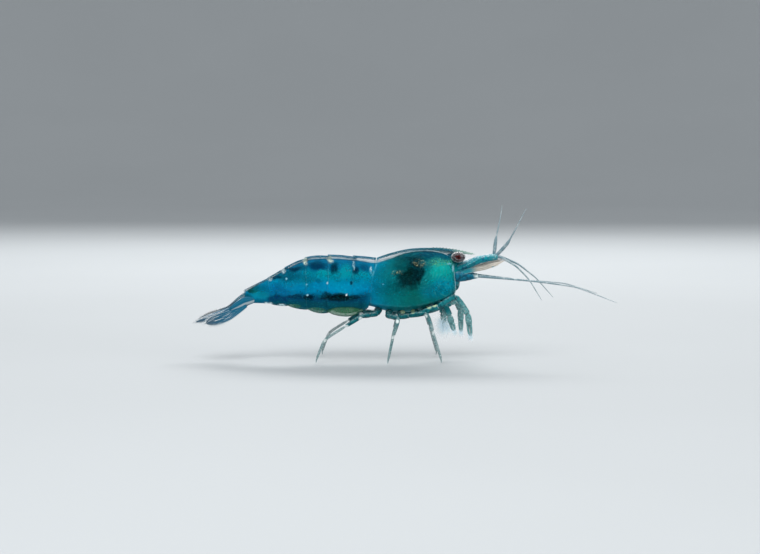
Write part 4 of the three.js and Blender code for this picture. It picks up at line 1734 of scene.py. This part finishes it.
@dataclass
class Legs:
    """Five pairs of legs: two with brush-tipped claws, and three that walk and end in a hooked toe."""

    shop: Workshop
    walking: Limb = Limb("walking_leg", upward_specks=0.35, marks=LEG_BASE_HIGHLIGHTS + KNOB_MARKS)
    clawed: Limb = Limb(
        "clawed_leg", root="16787F", spots="08505A", tip="6CB0B0", turn=0.62, tip_cover=0.75, upward_specks=0.25,
        marks=LEG_BASE_HIGHLIGHTS,
    )
    brush: Bristle = Bristle("brush_setae", root="88BCD2", tip="FFFFFF", glow=0.22)
    spine: Bristle = Bristle("leg_spines", root="7E9EA0", tip="D5E2E0")
    fingers: float = 0.06  # half the gap between the two fingers' tips
    neat: Brush = Brush(90, 0.55, 0.3, 0.35)
    spread: Brush = Brush(260, 1.35, 0.8, 1.0, 0.35)

    def claw(self, plan: LegPlan, side: Side) -> tuple[list[Surface], list[Surface]]:
        """The hand and two fingers of a claw, and the brush at each fingertip.

        The hand is a rod over the first half of the last stretch. Each finger is a tapered rod that bows out
        from the hand's middle line by a half sine. A brush's hairs fan out from the fingertip in a cone.

        Args:
            plan: The leg.
            side: Its side.

        Returns:
            The claw's surfaces and the brushes.
        """
        points = plan.points(side)
        start = joint_shares(points)[-2]
        lean = (0.75, 0.65 * side.value, 0.1)
        hand_path = route(points, np.linspace(start - 0.01, start + (1 - start) * 0.52, 20))
        t = np.linspace(0, 1, 20)
        reach = hermite([0.24, 0.34, 0.35, 0.28], t) * blunt(t, 10)
        hand = rod(hand_path, reach, 18, 0.72, lean)
        reach_path = route(points, np.linspace(start + (1 - start) * 0.42, 1.0, 24))
        _, across, _ = frames(reach_path, lean)
        t = np.linspace(0, 1, 24)
        made, brushes = [hand], []
        combing = plan.name == "leg_1" and side is Side.LEFT
        brush = self.spread if combing else self.neat
        for turn in (1, -1):
            bow = 0.14 + 0.07 * np.sin(np.pi * t) + (self.fingers * (1 + 2 * combing) - 0.12) * t
            path = reach_path + across * (turn * bow)[:, None]
            girth = 0.17 * (1 - 0.45 * t) * blunt(t, 12)
            made.append(rod(path, girth, 12, 0.8, lean))
            brushes.append(self.tuft(path, turn, across, brush))
        for part in made:
            part.chart[..., 1] = part.chart[..., 0] * 0.8 + 0.1
            part.chart[..., 0] = start + (1 - start) * part.chart[..., 0]
        return made, brushes

    def tuft(self, path: Array, turn: int, across: Array, brush: Brush) -> Surface:
        """A brush at a fingertip.

        Args:
            path: The finger's middle line.
            turn: 1 for the finger on the across side, or -1.
            across: Directions across the claw.
            brush: The brush.

        Returns:
            The hairs.
        """
        draw = np.random.default_rng(11 + turn)
        place = 1 - brush.cover * draw.random(brush.count) ** 1.2
        roots = np.stack([np.interp(place, np.linspace(0, 1, len(path)), axis) for axis in path.T], 1)
        ahead = unit(path[-1] - path[-6])
        stray = draw.normal(0, brush.stray, (brush.count, 3))
        lines = unit(ahead * brush.ahead + stray + across[-1] * turn * brush.stray * 0.7)
        length = brush.length * (0.55 + 0.45 * draw.random(brush.count))
        places = np.stack([place, draw.random(brush.count)], 1) * 0.9 + 0.02
        return hairs(roots, lines * length[:, None], ahead * 0.1, 0.024, places, rings=5)

    def spines(self, plan: LegPlan, side: Side) -> Surface:
        """Short movable spines along the underside of the last long segment and the toe.

        Args:
            plan: The leg.
            side: Its side.

        Returns:
            The spines as tapered hairs.
        """
        points = plan.points(side)
        joints = joint_shares(points)
        shares = np.concatenate(
            [np.linspace(joints[-4], joints[-2], 15)[1:], np.linspace(joints[-2], joints[-1], 6)[1:-1]]
        )
        roots = route(points, shares)
        ahead, under, _ = frames(roots, (-1.0, 0.0, -0.2))
        length = np.where(shares < joints[-2], 0.26, 0.13)[:, None]
        places = np.stack([shares * 0.9, 0 * shares + 0.4], 1)
        return hairs(roots + under * 0.06, (under * 0.6 + ahead * 0.8) * length, under * 0.0, 0.017, places)

    def build(self) -> None:
        """Makes the ten legs, with their brushes and spines."""
        brushes, spines = [], []
        for plan in LEGS:
            for side in Side:
                parts = segment_surfaces(plan.points(side), plan.segments, (0.2, 1, 0.1))
                if plan.claw:
                    claw, tufts = self.claw(plan, side)
                    parts += claw
                    brushes += tufts
                else:
                    spines.append(self.spines(plan, side))
                finish = self.clawed if plan.claw else self.walking
                name = f"{plan.name}_{side.label}"
                self.shop.piece(f"{name}_limb", join(parts), finish, Slot.LIMBS, [name])
        self.shop.piece("claw_brushes", join(brushes), self.brush, Slot.LIMBS)
        self.shop.piece("leg_spines", join(spines), self.spine, Slot.LIMBS)


# ---- Mouth ----


@dataclass
class Mouth:
    """The mouthparts: lobes under the head, and the third pair of mouth legs with their bristles."""

    shop: Workshop
    finish: Limb = Limb(
        "mouth_lobes", root="12707A", spots="0A4A55", tip="7FB3B2", turn=0.6, tip_cover=0.8, knobs=0.5
    )
    bristle: Bristle = Bristle("mouth_bristles", root="9CBFC2", tip="E6F0EE")
    ahead: float = 0.1  # how much further forward the left leg stands
    leg_hairs: int = 70
    lobe_hairs: int = 40
    joints: tuple = ((6.35, 0.5, 5.6), (7.0, 0.72, 5.3), (8.0, 0.78, 5.55), (8.7, 0.72, 5.95))
    segments: tuple = (
        Segment(0.6, (0.26, 0.28, 0.25)),
        Segment(2.0, (0.2, 0.22, 0.17)),
        Segment(2.99, (0.14, 0.17, 0.12)),
        Segment(3.0, (0.08, 0.06, 0.03)),
    )

    def leg(self, side: Side) -> Array:
        """The joints of the mouth leg on one side."""
        return np.array(self.joints) * (1, side.value, 1) + (self.ahead * (side is Side.LEFT), 0, 0)

    def lobe(self, number: int, side: Side) -> Surface:
        """One lobe: a flat rod that curls forwards and up under the head, set back by its number.

        Args:
            number: Its number, counted from the front.
            side: Its side.

        Returns:
            The lobe.
        """
        y, back = side.value, 0.26 * number
        line = [
            (7.2 - back, y * 0.28, 6.3 - 0.4 * back),
            (7.75 - back, y * (0.46 + 0.05 * number), 6.3 - 0.4 * back),
            (8.15 - 0.8 * back, y * 0.42, 6.8 - 0.5 * back),
            (8.35 - 0.8 * back, y * 0.22, 7.4 - 0.6 * back),
        ]
        t = np.linspace(0, 1, 22)
        reach = hermite([0.2, 0.34, 0.3, 0.14], t) * blunt(t, 8)
        return rod(route(line, t), reach, 16, 0.42, (0.8, 0.5 * y, -0.3))

    def bristles(self) -> Surface:
        """Bristles along the mouth legs and at the lobes' tips.

        Returns:
            The hairs.
        """
        draw = np.random.default_rng(5)
        made = []
        for side in Side:
            count = self.leg_hairs
            share = 0.45 + 0.55 * draw.random(count)
            lines = unit(draw.normal(0, 0.6, (count, 3)) + (0.8, 0, 0.25))
            lines = lines * (0.22 + 0.2 * draw.random(count))[:, None]
            places = np.stack([share, draw.random(count)], 1) * 0.9
            made.append(hairs(route(self.leg(side), share), lines, lines * 0.1, 0.012, places))
            count = self.lobe_hairs
            tips = np.array([8.35, 0.2 * side.value, 7.2]) + draw.normal(0, 0.1, (count, 3))
            lines = unit(draw.normal(0, 0.4, (count, 3)) + (0.6, 0, 0.5)) * 0.3
            places = draw.random((count, 2)) * 0.9
            made.append(hairs(tips - (0.2, 0, 0.15), lines, lines * 0.1, 0.012, places))
        return join(made)

    def build(self) -> None:
        """Makes the mouthparts."""
        lobes = [self.lobe(number, side) for number in range(3) for side in Side]
        t = np.linspace(0, 1, 16)
        line = route([(8.0, 0, 6.8), (8.4, 0, 7.2), (8.75, 0, 7.8)], t)
        lip = rod(line, hermite([0.12, 0.34, 0.3, 0.1], t), 18)
        self.shop.piece("mouth_lobes", join([*lobes, lip]), self.finish, Slot.FLESH, ["mouthparts"])
        for side in Side:
            name = f"mouth_leg_{side.label}"
            limb = join(segment_surfaces(self.leg(side), self.segments, (0.2, 1, 0.1)))
            self.shop.piece(f"{name}_limb", limb, self.finish, Slot.LIMBS, [name])
        self.shop.piece("mouth_bristles", self.bristles(), self.bristle, Slot.LIMBS)


# ---- Feelers ----


@dataclass(frozen=True)
class FeelerPlan:
    """A feeler: its node, its line, and the radii along it from root to tip."""

    name: str
    points: tuple
    radii: tuple
    lean: tuple = (0.2, 1.0, 0.1)


UPPER = (0.16, 0.175, 0.185, 0.175, 0.16, 0.085, 0.075, 0.07, 0.064, 0.058, 0.052, 0.045, 0.036, 0.022)
LOWER = (0.13, 0.115, 0.1, 0.085, 0.075, 0.06, 0.05, 0.04, 0.02)
LONG = (0.13, 0.11, 0.095, 0.085, 0.075, 0.065, 0.055, 0.045, 0.025)
FEELERS = (
    FeelerPlan(
        "antennule_upper_right",
        (
            (12.35, -0.6, 10.3), (12.68, -0.62, 10.62), (13.5, -0.95, 11.6),
            (14.35, -1.4, 13.2), (15.2, -1.8, 14.95),
        ),
        UPPER,
    ),
    FeelerPlan(
        "antennule_upper_left",
        ((12.2, 0.6, 10.2), (12.26, 0.62, 10.66), (12.42, 0.9, 11.9), (12.8, 1.25, 13.6), (13.05, 1.5, 15.1)),
        UPPER,
    ),
    FeelerPlan(
        "antennule_lower_right",
        (
            (12.4, -0.6, 10.12), (12.88, -0.62, 10.08), (14.3, -0.85, 9.25),
            (15.55, -1.2, 7.95), (16.75, -1.6, 6.0),
        ),
        LOWER,
    ),
    FeelerPlan(
        "antennule_lower_left",
        ((12.4, 0.6, 10.14), (12.88, 0.62, 10.1), (14.6, 0.95, 9.35), (16.4, 1.4, 7.95), (18.15, 1.9, 6.0)),
        LOWER,
    ),
    FeelerPlan(
        "antenna_right",
        ((10.3, -1.02, 8.28), (10.7, -1.12, 8.28), (15.6, -2.6, 7.95), (19.8, -4.2, 7.45), (23.6, -6.0, 6.1)),
        LONG,
    ),
    FeelerPlan(
        "antenna_left",
        ((10.3, 1.02, 8.28), (10.7, 1.12, 8.28), (15.6, 2.7, 7.6), (19.4, 4.7, 7.2), (23.0, 7.0, 6.0)),
        LONG,
    ),
)


@dataclass
class Antennae:
    """The antennules with two feelers each, and the antennae with their conical bases and broad scales."""

    shop: Workshop
    ringed: Ringed = Ringed()
    stem: Limb = Limb(
        "feeler_stem", root="128A96", spots="08607A", tip="2F9AA6", turn=0.85, tip_cover=0.95, knobs=0.45,
        edge="B4DCE2", upward_specks=0.65
    )
    base: Limb = Limb(
        "antenna_base", root="046A84", spots="03485C", tip="DCE9E8", turn=0.9, tip_cover=0.95, knobs=0.45,
        edge="A8D4E0", upward_specks=0.35
    )
    scale: Blade = Blade(
        "antenna_scale", root="1C7F8C", middle="9A968C", tip="C4BCB0", streak="F6F1EA", root_cover=0.97,
        tip_cover=0.94, streaks=6.0, fade=(0.2, 0.42),
    )
    bristle: Bristle = Bristle("scale_setae", root="CDBFB4", tip="F3EFEA")
    stem_segments: tuple = (
        Segment(2.0, (0.38, 0.42, 0.37), 0.95, 0.08),
        Segment(2.45, (0.36, 0.36, 0.33), 0.95, 0.08),
        Segment(3.0, (0.32, 0.33, 0.29), 0.95, 0.08),
    )
    base_segments: tuple = (
        Segment(0.95, (0.52, 0.53, 0.45), 1.0, 0.06),
        Segment(1.5, (0.44, 0.4, 0.32), 1.0, 0.06),
        Segment(2.0, (0.31, 0.26, 0.2), 1.0, 0.06),
    )
    scale_widths: tuple = (0.26, 0.28, 0.3, 0.31, 0.24, 0.05)

    def stem_surface(self, side: Side) -> Surface:
        """The three segments of an antennule's stem, with a scale-like spine beside its root.

        Args:
            side: Its side.

        Returns:
            The stem and the spine.
        """
        y = side.value
        points = ((8.3, y * 0.5, 8.95), (9.4, y * 0.5, 9.3), (10.7, y * 0.5, 9.84), (12.62, y * 0.58, 10.19))
        share = np.linspace(0, 1, 24)
        line = route([(9.1, y * 0.85, 9.1), (9.9, y * 0.95, 9.55), (10.9, y * 0.86, 10.05)], share)
        spine = self.charted(rod(line, hermite([0.2, 0.17, 0.1, 0.015], share), 12, 0.5))
        return join([*segment_surfaces(points, self.stem_segments, (0, 1, 0), 24), spine])

    def charted(self, surface: Surface) -> Surface:
        """Gives a surface the chart of a plain stretch, so that no joint is painted on it.

        Args:
            surface: The surface.

        Returns:
            The same surface.
        """
        surface.chart[..., 1] = 0.5
        surface.chart[..., 0] = 0.3 + 0.3 * surface.chart[..., 0]
        return surface

    def feeler(self, plan: FeelerPlan) -> Surface:
        """A feeler: a tapered rod whose radius swells by a twentieth at each ring.

        Args:
            plan: The feeler.

        Returns:
            The rod.
        """
        share = np.linspace(0, 1, 260)
        rings = 1 + 0.05 * np.cos(share * self.ringed.rings * 2 * np.pi)
        return rod(route(plan.points, share), hermite(plan.radii, share) * rings, 10, lean=plan.lean)

    def scale_path(self, side: Side, count: int) -> Array:
        """The middle line of an antenna's scale, as a count of points."""
        line = np.array([(8.8, 1.0, 8.66), (11.2, 1.36, 9.2), (13.12, 1.3, 9.8)])
        return route(line * (1, side.value, 1), np.linspace(0, 1, count))

    def scale_lean(self, side: Side) -> tuple[float, float, float]:
        """The direction across a scale: outwards and down."""
        tilt = np.radians(46.0)
        return (0.0, side.value * float(np.cos(tilt)), -float(np.sin(tilt)))

    def scale_surfaces(self, side: Side) -> tuple[Surface, Surface]:
        """A scale with a spine at its outer corner, and the fringe of setae round its tip and inner edge.

        Args:
            side: Its side.

        Returns:
            The blade and the fringe.
        """
        rows, corner, count = 70, 48, 90
        share = np.linspace(0, 1, rows)
        path, lean = self.scale_path(side, rows), self.scale_lean(side)
        widths = hermite(self.scale_widths, share) * np.sqrt(np.clip(1 - share**14, 0.001, 1))
        blade = leaf(path, widths, 0.035, 0.03, lean, 36, cup=0.12)
        ahead, across, _ = frames(path, lean)
        root = path[corner] + across[corner] * widths[corner] * 0.9
        spine = rod(np.linspace(root, root + ahead[corner] * 0.75, 10), np.linspace(0.05, 0.01, 10), 8)
        at = np.linspace(0.35, 1.0, count)
        row = np.round(at * (rows - 1)).astype(int)
        edge = path[row] - across[row] * widths[row][:, None] * 0.95
        fan = unit(ahead[row] * (0.5 + at[:, None]) - across[row] * (1.3 - at[:, None]))
        lines = fan * (0.24 + 0.1 * at[:, None])
        places = np.stack([at * 0.9, 0 * at + 0.5], 1)
        return join([blade, spine]), hairs(edge, lines, ahead[row] * 0.06, 0.011, places)

    def build(self) -> None:
        """Makes the feelers, their stems, the bases and the scales."""
        fringes = []
        for side in Side:
            y, name = side.value, side.label
            stem = self.stem_surface(side)
            self.shop.piece(f"antennule_stem_{name}", stem, self.stem, Slot.LIMBS, [f"antennule_{name}"])
            cone = ((8.3, y * 0.7, 8.28), (9.5, y * 0.88, 8.28), (10.48, y * 1.06, 8.27))
            parts = segment_surfaces(cone, self.base_segments, (0, 1, 0), 24)
            knob = self.charted(ball((10.46, y * 1.05, 8.28), 0.2, (1, 0, 0), 16, 20))
            knob.chart[..., 0] = 1.0
            base = join([*parts, knob])
            self.shop.piece(f"antenna_cone_{name}", base, self.base, Slot.LIMBS, [f"antenna_base_{name}"])
            blade, fringe = self.scale_surfaces(side)
            fringes.append(fringe)
            self.shop.piece(f"scale_blade_{name}", blade, self.scale, Slot.FINS, [f"antenna_scale_{name}"])
        self.shop.piece("scale_fringe", join(fringes), self.bristle, Slot.FINS)
        for plan in FEELERS:
            self.shop.piece(f"{plan.name}_feeler", self.feeler(plan), self.ringed, Slot.FEELERS, [plan.name])


# ---- Tail fan and swimming legs ----


@dataclass(frozen=True)
class BladePlan:
    """A blade: its line, its half widths from root to tip, and how far its outer edge is turned down."""

    name: str
    points: tuple
    widths: tuple
    tilt: float
    seed: int
    stout: float = 0.05  # extra half thickness at its root

    def line(self, hand: int, count: int) -> Array:
        """The middle line on one side."""
        return route(np.array(self.points) * (1, hand, 1), np.linspace(0, 1, count))

    def lean(self, hand: int) -> tuple[float, float, float]:
        """The direction across the blade."""
        return (0.0, hand * float(np.cos(self.tilt)), -float(np.sin(self.tilt)))


@dataclass
class TailFan:
    """The telson between two pairs of blades, each with a fringe of setae round its tip."""

    shop: Workshop
    blade: Blade = Blade(
        "fan_blade", root="045E7A", middle="085672", tip="3A5466", streak="D6DEDE", root_cover=1.0,
        tip_cover=0.95, streaks=6.0,
    )
    spike: Blade = Blade(
        "telson_blade", root="04566A", middle="1A5468", tip="7A7876", streak="CCD4D4", root_cover=1.0,
        tip_cover=0.92, rim=0.2,
    )
    bristle: Bristle = Bristle("fan_setae", root="B9CBD2", tip="EEF2F3")
    telson: BladePlan = BladePlan(
        "telson", ((-11.7, 0, 6.5), (-12.9, 0, 5.9), (-13.9, 0, 5.26), (-15.5, 0, 4.72), (-16.3, 0, 4.42)),
        (0.5, 0.5, 0.4, 0.32, 0.2), 0.0, 3, 0.34
    )
    blades: tuple = (
        BladePlan(
            "fan_inner", ((-12.0, 0.5, 5.82), (-14.1, 0.85, 4.88), (-16.95, 1.1, 3.82)),
            (0.26, 0.4, 0.5, 0.48, 0.32), float(np.radians(36)), 7,
        ),
        BladePlan(
            "fan_outer", ((-12.1, 0.85, 5.45), (-13.8, 1.5, 4.5), (-15.9, 2.1, 3.78)),
            (0.26, 0.44, 0.56, 0.6, 0.42), float(np.radians(54)), 9,
        ),
    )

    def surfaces(self, plan: BladePlan, hand: int, cup: float) -> tuple[Surface, Surface]:
        """A blade and its fringe.

        Args:
            plan: The blade.
            hand: 1 on the left or the mid line, -1 on the right.
            cup: How far its edges bend up.

        Returns:
            The blade, and hairs that fan out from its last half.
        """
        count, hair_count = 80, 110
        share = np.linspace(0, 1, count)
        path, lean = plan.line(hand, count), plan.lean(hand)
        widths = hermite(plan.widths, share) * np.sqrt(np.clip(1 - share**9, 0.002, 1))
        blade = leaf(path, widths, 0.045 + plan.stout * (1 - ramp(share, 0.0, 0.5)), 0.05, lean, 44, cup)
        ahead, across, up = frames(path, lean)
        draw = np.random.default_rng(plan.seed)
        turn = np.linspace(-1, 1, hair_count)
        at = 1 - 0.5 * np.abs(turn) ** 1.5
        rows = np.round(at * (count - 1)).astype(int)
        reach = np.where(np.abs(turn) < 0.25, turn / 0.25 * 0.8, np.sign(turn)) * widths[rows]
        rise = cup * reach**2 / np.maximum(widths[rows], 1e-3)
        roots = path[rows] + across[rows] * (reach * 0.97)[:, None] + up[rows] * rise[:, None]
        out = unit(ahead[rows] * (1.25 - 0.6 * np.abs(turn[:, None])) + across[rows] * turn[:, None] * 0.55)
        lines = out * (0.3 + 0.14 * (1 - np.abs(turn[:, None])) + 0.05 * draw.random((hair_count, 1)))
        places = np.stack([at * 0.9, (turn + 1) * 0.45], 1)
        return blade, hairs(roots, lines, draw.normal(0, 0.02, (hair_count, 3)), 0.012, places)

    def base(self, side: Side) -> Surface:
        """The stout base that both blades of a side grow from, with the chart of a blade's root.

        Args:
            side: Its side.

        Returns:
            The base.
        """
        y = side.value
        t = np.linspace(0, 1, 24)
        reach = hermite([0.44, 0.5, 0.44, 0.22], t) * blunt(t, 12)
        line = route([(-11.2, y * 0.3, 6.1), (-12.3, y * 0.56, 5.76), (-13.7, y * 0.98, 4.98)], t)
        stub = rod(line, reach, 20, 0.9, (0.0, y, -0.6))
        stub.chart[..., 0] *= 0.15
        return stub

    def build(self) -> None:
        """Makes the five blades and their fringes."""
        body, fringe = self.surfaces(self.telson, 1, -0.15)
        fringes = [fringe]
        self.shop.piece("telson_blade", body, self.spike, Slot.FINS, ["telson"])
        for plan in self.blades:
            for side in Side:
                body, fringe = self.surfaces(plan, side.value, -0.12)
                fringes.append(fringe)
                if plan.name == "fan_outer":
                    body = join([body, self.base(side)])
                name = f"{plan.name}_{side.label}"
                self.shop.piece(f"{name}_blade", body, self.blade, Slot.FINS, [name])
        self.shop.piece("fan_fringe", join(fringes), self.bristle, Slot.FINS)


@dataclass
class Swimmers:
    """Five pairs of swimming legs under the tail: a stout base and two leaf-shaped branches with fringes."""

    shop: Workshop
    blade: Blade = Blade(
        "swimmer_blade", root="0F6672", middle="3B8A90", tip="A9C4C4", streak="CFE0DE", root_cover=0.9
    )
    bristle: Bristle = Bristle("swimmer_setae", root="9DB8BA", tip="E4EEEC")
    tail: tuple = Trunk.tail
    roof: float = 1.0  # height of the body's underside over the side plates' corners
    behind: float = 0.74  # share of a tergite that lies behind its leg
    count: int = 5

    def pair(self, number: int, side: Side) -> tuple[Surface, Surface]:
        """One swimming leg and its fringe.

        Args:
            number: Its number, counted from the carapace.
            side: Its side.

        Returns:
            The leg, and the hairs along both edges of its branches.
        """
        _, belly, _ = read_stations(self.tail, np.array([1 - (number - self.behind) / TERGITES]))
        x, z = belly[0]
        y = side.value
        root = (x + 0.2, y * 0.62, z + self.roof + 0.2)
        end = np.array([x - 0.3, y * 0.6, z + 0.2])
        t = np.linspace(0, 1, 24)
        reach = hermite([0.16, 0.27, 0.24, 0.14], t) * blunt(t, 10)
        parts = [rod(route([root, (x, y * 0.66, z + 0.62), end], t), reach, 14, 0.55, (1, 0, 0))]
        fringe = []
        count, first = 30, 8
        share = np.linspace(0, 1, count)
        widths = hermite([0.08, 0.2, 0.22, 0.14, 0.03], share)
        rows = np.tile(np.arange(first, count), 2)
        hand = np.repeat([1.0, -1.0], count - first)[:, None]
        places = np.stack([rows / (count + 1), 0.25 + 0.25 * (hand[:, 0] + 1)], 1)
        for turn in (1, -1):
            tip = end + (-0.95, y * 0.22 * turn, -0.12 + 0.1 * turn)
            middle = (end + tip) / 2 + (0.0, y * 0.1 * turn, -0.1)
            path, lean = route([end + (0.06, 0, 0.06), middle, tip], share), (0.35, 0.75 * y, 0.5)
            parts.append(leaf(path, widths, 0.025, 0.02, lean, 20))
            ahead, across, _ = frames(path, lean)
            roots = path[rows] + across[rows] * hand * widths[rows][:, None] * 0.95
            lines = unit(ahead[rows] * 1.1 + across[rows] * hand * 0.7) * 0.24
            fringe.append(hairs(roots, lines, 0 * lines, 0.009, places))
        return join(parts), join(fringe)

    def build(self) -> None:
        """Makes the ten swimming legs and their fringes."""
        fringes = []
        for number in range(1, self.count + 1):
            for side in Side:
                leg, fringe = self.pair(number, side)
                fringes.append(fringe)
                name = f"swimmer_{number}_{side.label}"
                self.shop.piece(f"{name}_leg", leg, self.blade, Slot.FINS, [name])
        self.shop.piece("swimmer_fringe", join(fringes), self.bristle, Slot.FINS)


# ---- Studio ----


@dataclass
class Studio:
    """A pale dished floor, soft lights and the camera."""

    shop: Workshop
    aim: tuple = (1.01, 0.0, 8.15)
    distance: float = 207.0
    elevation: float = 4.0
    lens: float = 100.0
    paint: FloorPaint = FloorPaint()
    flat_radius: float = 430.0
    rim_radius: float = 380.0

    def floor(self) -> None:
        """The floor: a flat disc that curves up into a wall all round, as a profile turned about z."""
        sides, sunk = 96, -0.002
        flat = np.linspace(0, 1, 24)[1:] * self.flat_radius
        turn = np.linspace(0, np.pi / 2, 20)[1:]
        reach = np.concatenate([[0.5], flat, self.flat_radius + self.rim_radius * np.sin(turn)])[:, None]
        height = np.concatenate([0 * flat, [0.0], self.rim_radius * (1 - np.cos(turn))])[:, None]
        angle, ring = turns(sides), np.arange(sides)
        rings = grid_points(reach * np.cos(angle), reach * np.sin(angle), height + sunk)
        row, column = mesh_grid(len(reach), sides, closed=True)
        faces = (row * sides + column % sides)[:, ::-1]
        none, middle = np.full(sides, -1), np.full(sides, len(reach) * sides)
        faces = np.concatenate([faces, np.stack([ring, (ring + 1) % sides, middle, none], 1)])
        points = np.concatenate([rings.reshape(-1, 3), [[0.0, 0.0, sunk]]])
        dish = self.shop.mesh("floor", Surface(points, faces, np.zeros((len(faces), 4, 2))))
        dish.data.materials.append(self.shop.material(self.paint))

    def light(self, name: str, place: tuple, size: tuple, power: float, mirrored: bool) -> None:
        """An area light that faces the animal.

        Args:
            name: Its name.
            place: Where it stands, in the animal's millimetres.
            size: Its width and height, in millimetres.
            power: Its power in watts.
            mirrored: Whether glossy surfaces show it.
        """
        lamp = bpy.data.lights.new(name, "AREA")
        lamp.shape = "RECTANGLE"
        lamp.size = size[0] * MM
        lamp.size_y = size[1] * MM
        lamp.energy = power
        holder = bpy.data.objects.new(name, lamp)
        holder.visible_glossy = mirrored
        holder.visible_camera = False
        holder.location = self.shop.stance.place([place])[0]
        target = Vector(self.shop.stance.place([self.aim])[0])
        holder.rotation_euler = (target - holder.location).to_track_quat("-Z", "Y").to_euler()
        bpy.context.scene.collection.objects.link(holder)

    def camera(self) -> None:
        """The camera, level with the animal's flank and a little above it."""
        lens = bpy.data.cameras.new("camera")
        lens.lens = self.lens
        lens.clip_start = 0.01
        holder = bpy.data.objects.new("camera", lens)
        turn = np.radians(self.elevation)
        back = np.array([0.0, -np.cos(turn), np.sin(turn)]) * self.distance
        holder.location = self.shop.stance.place([np.array(self.aim) + back])[0]
        holder.rotation_euler = (np.pi / 2 - turn, 0.0, 0.0)
        bpy.context.scene.collection.objects.link(holder)
        bpy.context.scene.camera = holder

    def build(self) -> None:
        """Makes the floor, the lights, the sky and the camera."""
        self.floor()
        self.light("key", (-60, -190, 220), (200, 200), 0.6, mirrored=False)
        self.light("back", (10, 210, 150), (280, 60), 0.45, mirrored=True)
        self.light("spark", (30, -200, 170), (16, 16), 0.014, mirrored=True)
        self.light("fill", (240, -150, 80), (200, 200), 0.2, mirrored=False)
        world = bpy.data.worlds.new("studio")
        world.use_nodes = True
        world.node_tree.nodes["Background"].inputs[0].default_value = (0.92, 0.96, 1.0, 1.0)
        world.node_tree.nodes["Background"].inputs[1].default_value = 0.6
        bpy.context.scene.world = world
        bpy.context.scene.view_settings.view_transform = "Standard"
        self.camera()


def write_sizes() -> None:
    """Brings the scene's view layer up to date."""
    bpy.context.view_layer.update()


def main() -> None:
    """Builds every sub-assembly in order."""
    logging.basicConfig(level=logging.INFO, format="%(message)s")
    shop = Workshop(Stance.from_frame())
    Studio(shop).build()
    for assembly in (Trunk, Rostrum, Eyes, Mouth, Antennae, Legs, Swimmers, TailFan):
        assembly(shop).build()
    write_sizes()
    LOG.info("%d pieces", len(shop.made))


if __name__ == "__main__":
    main()
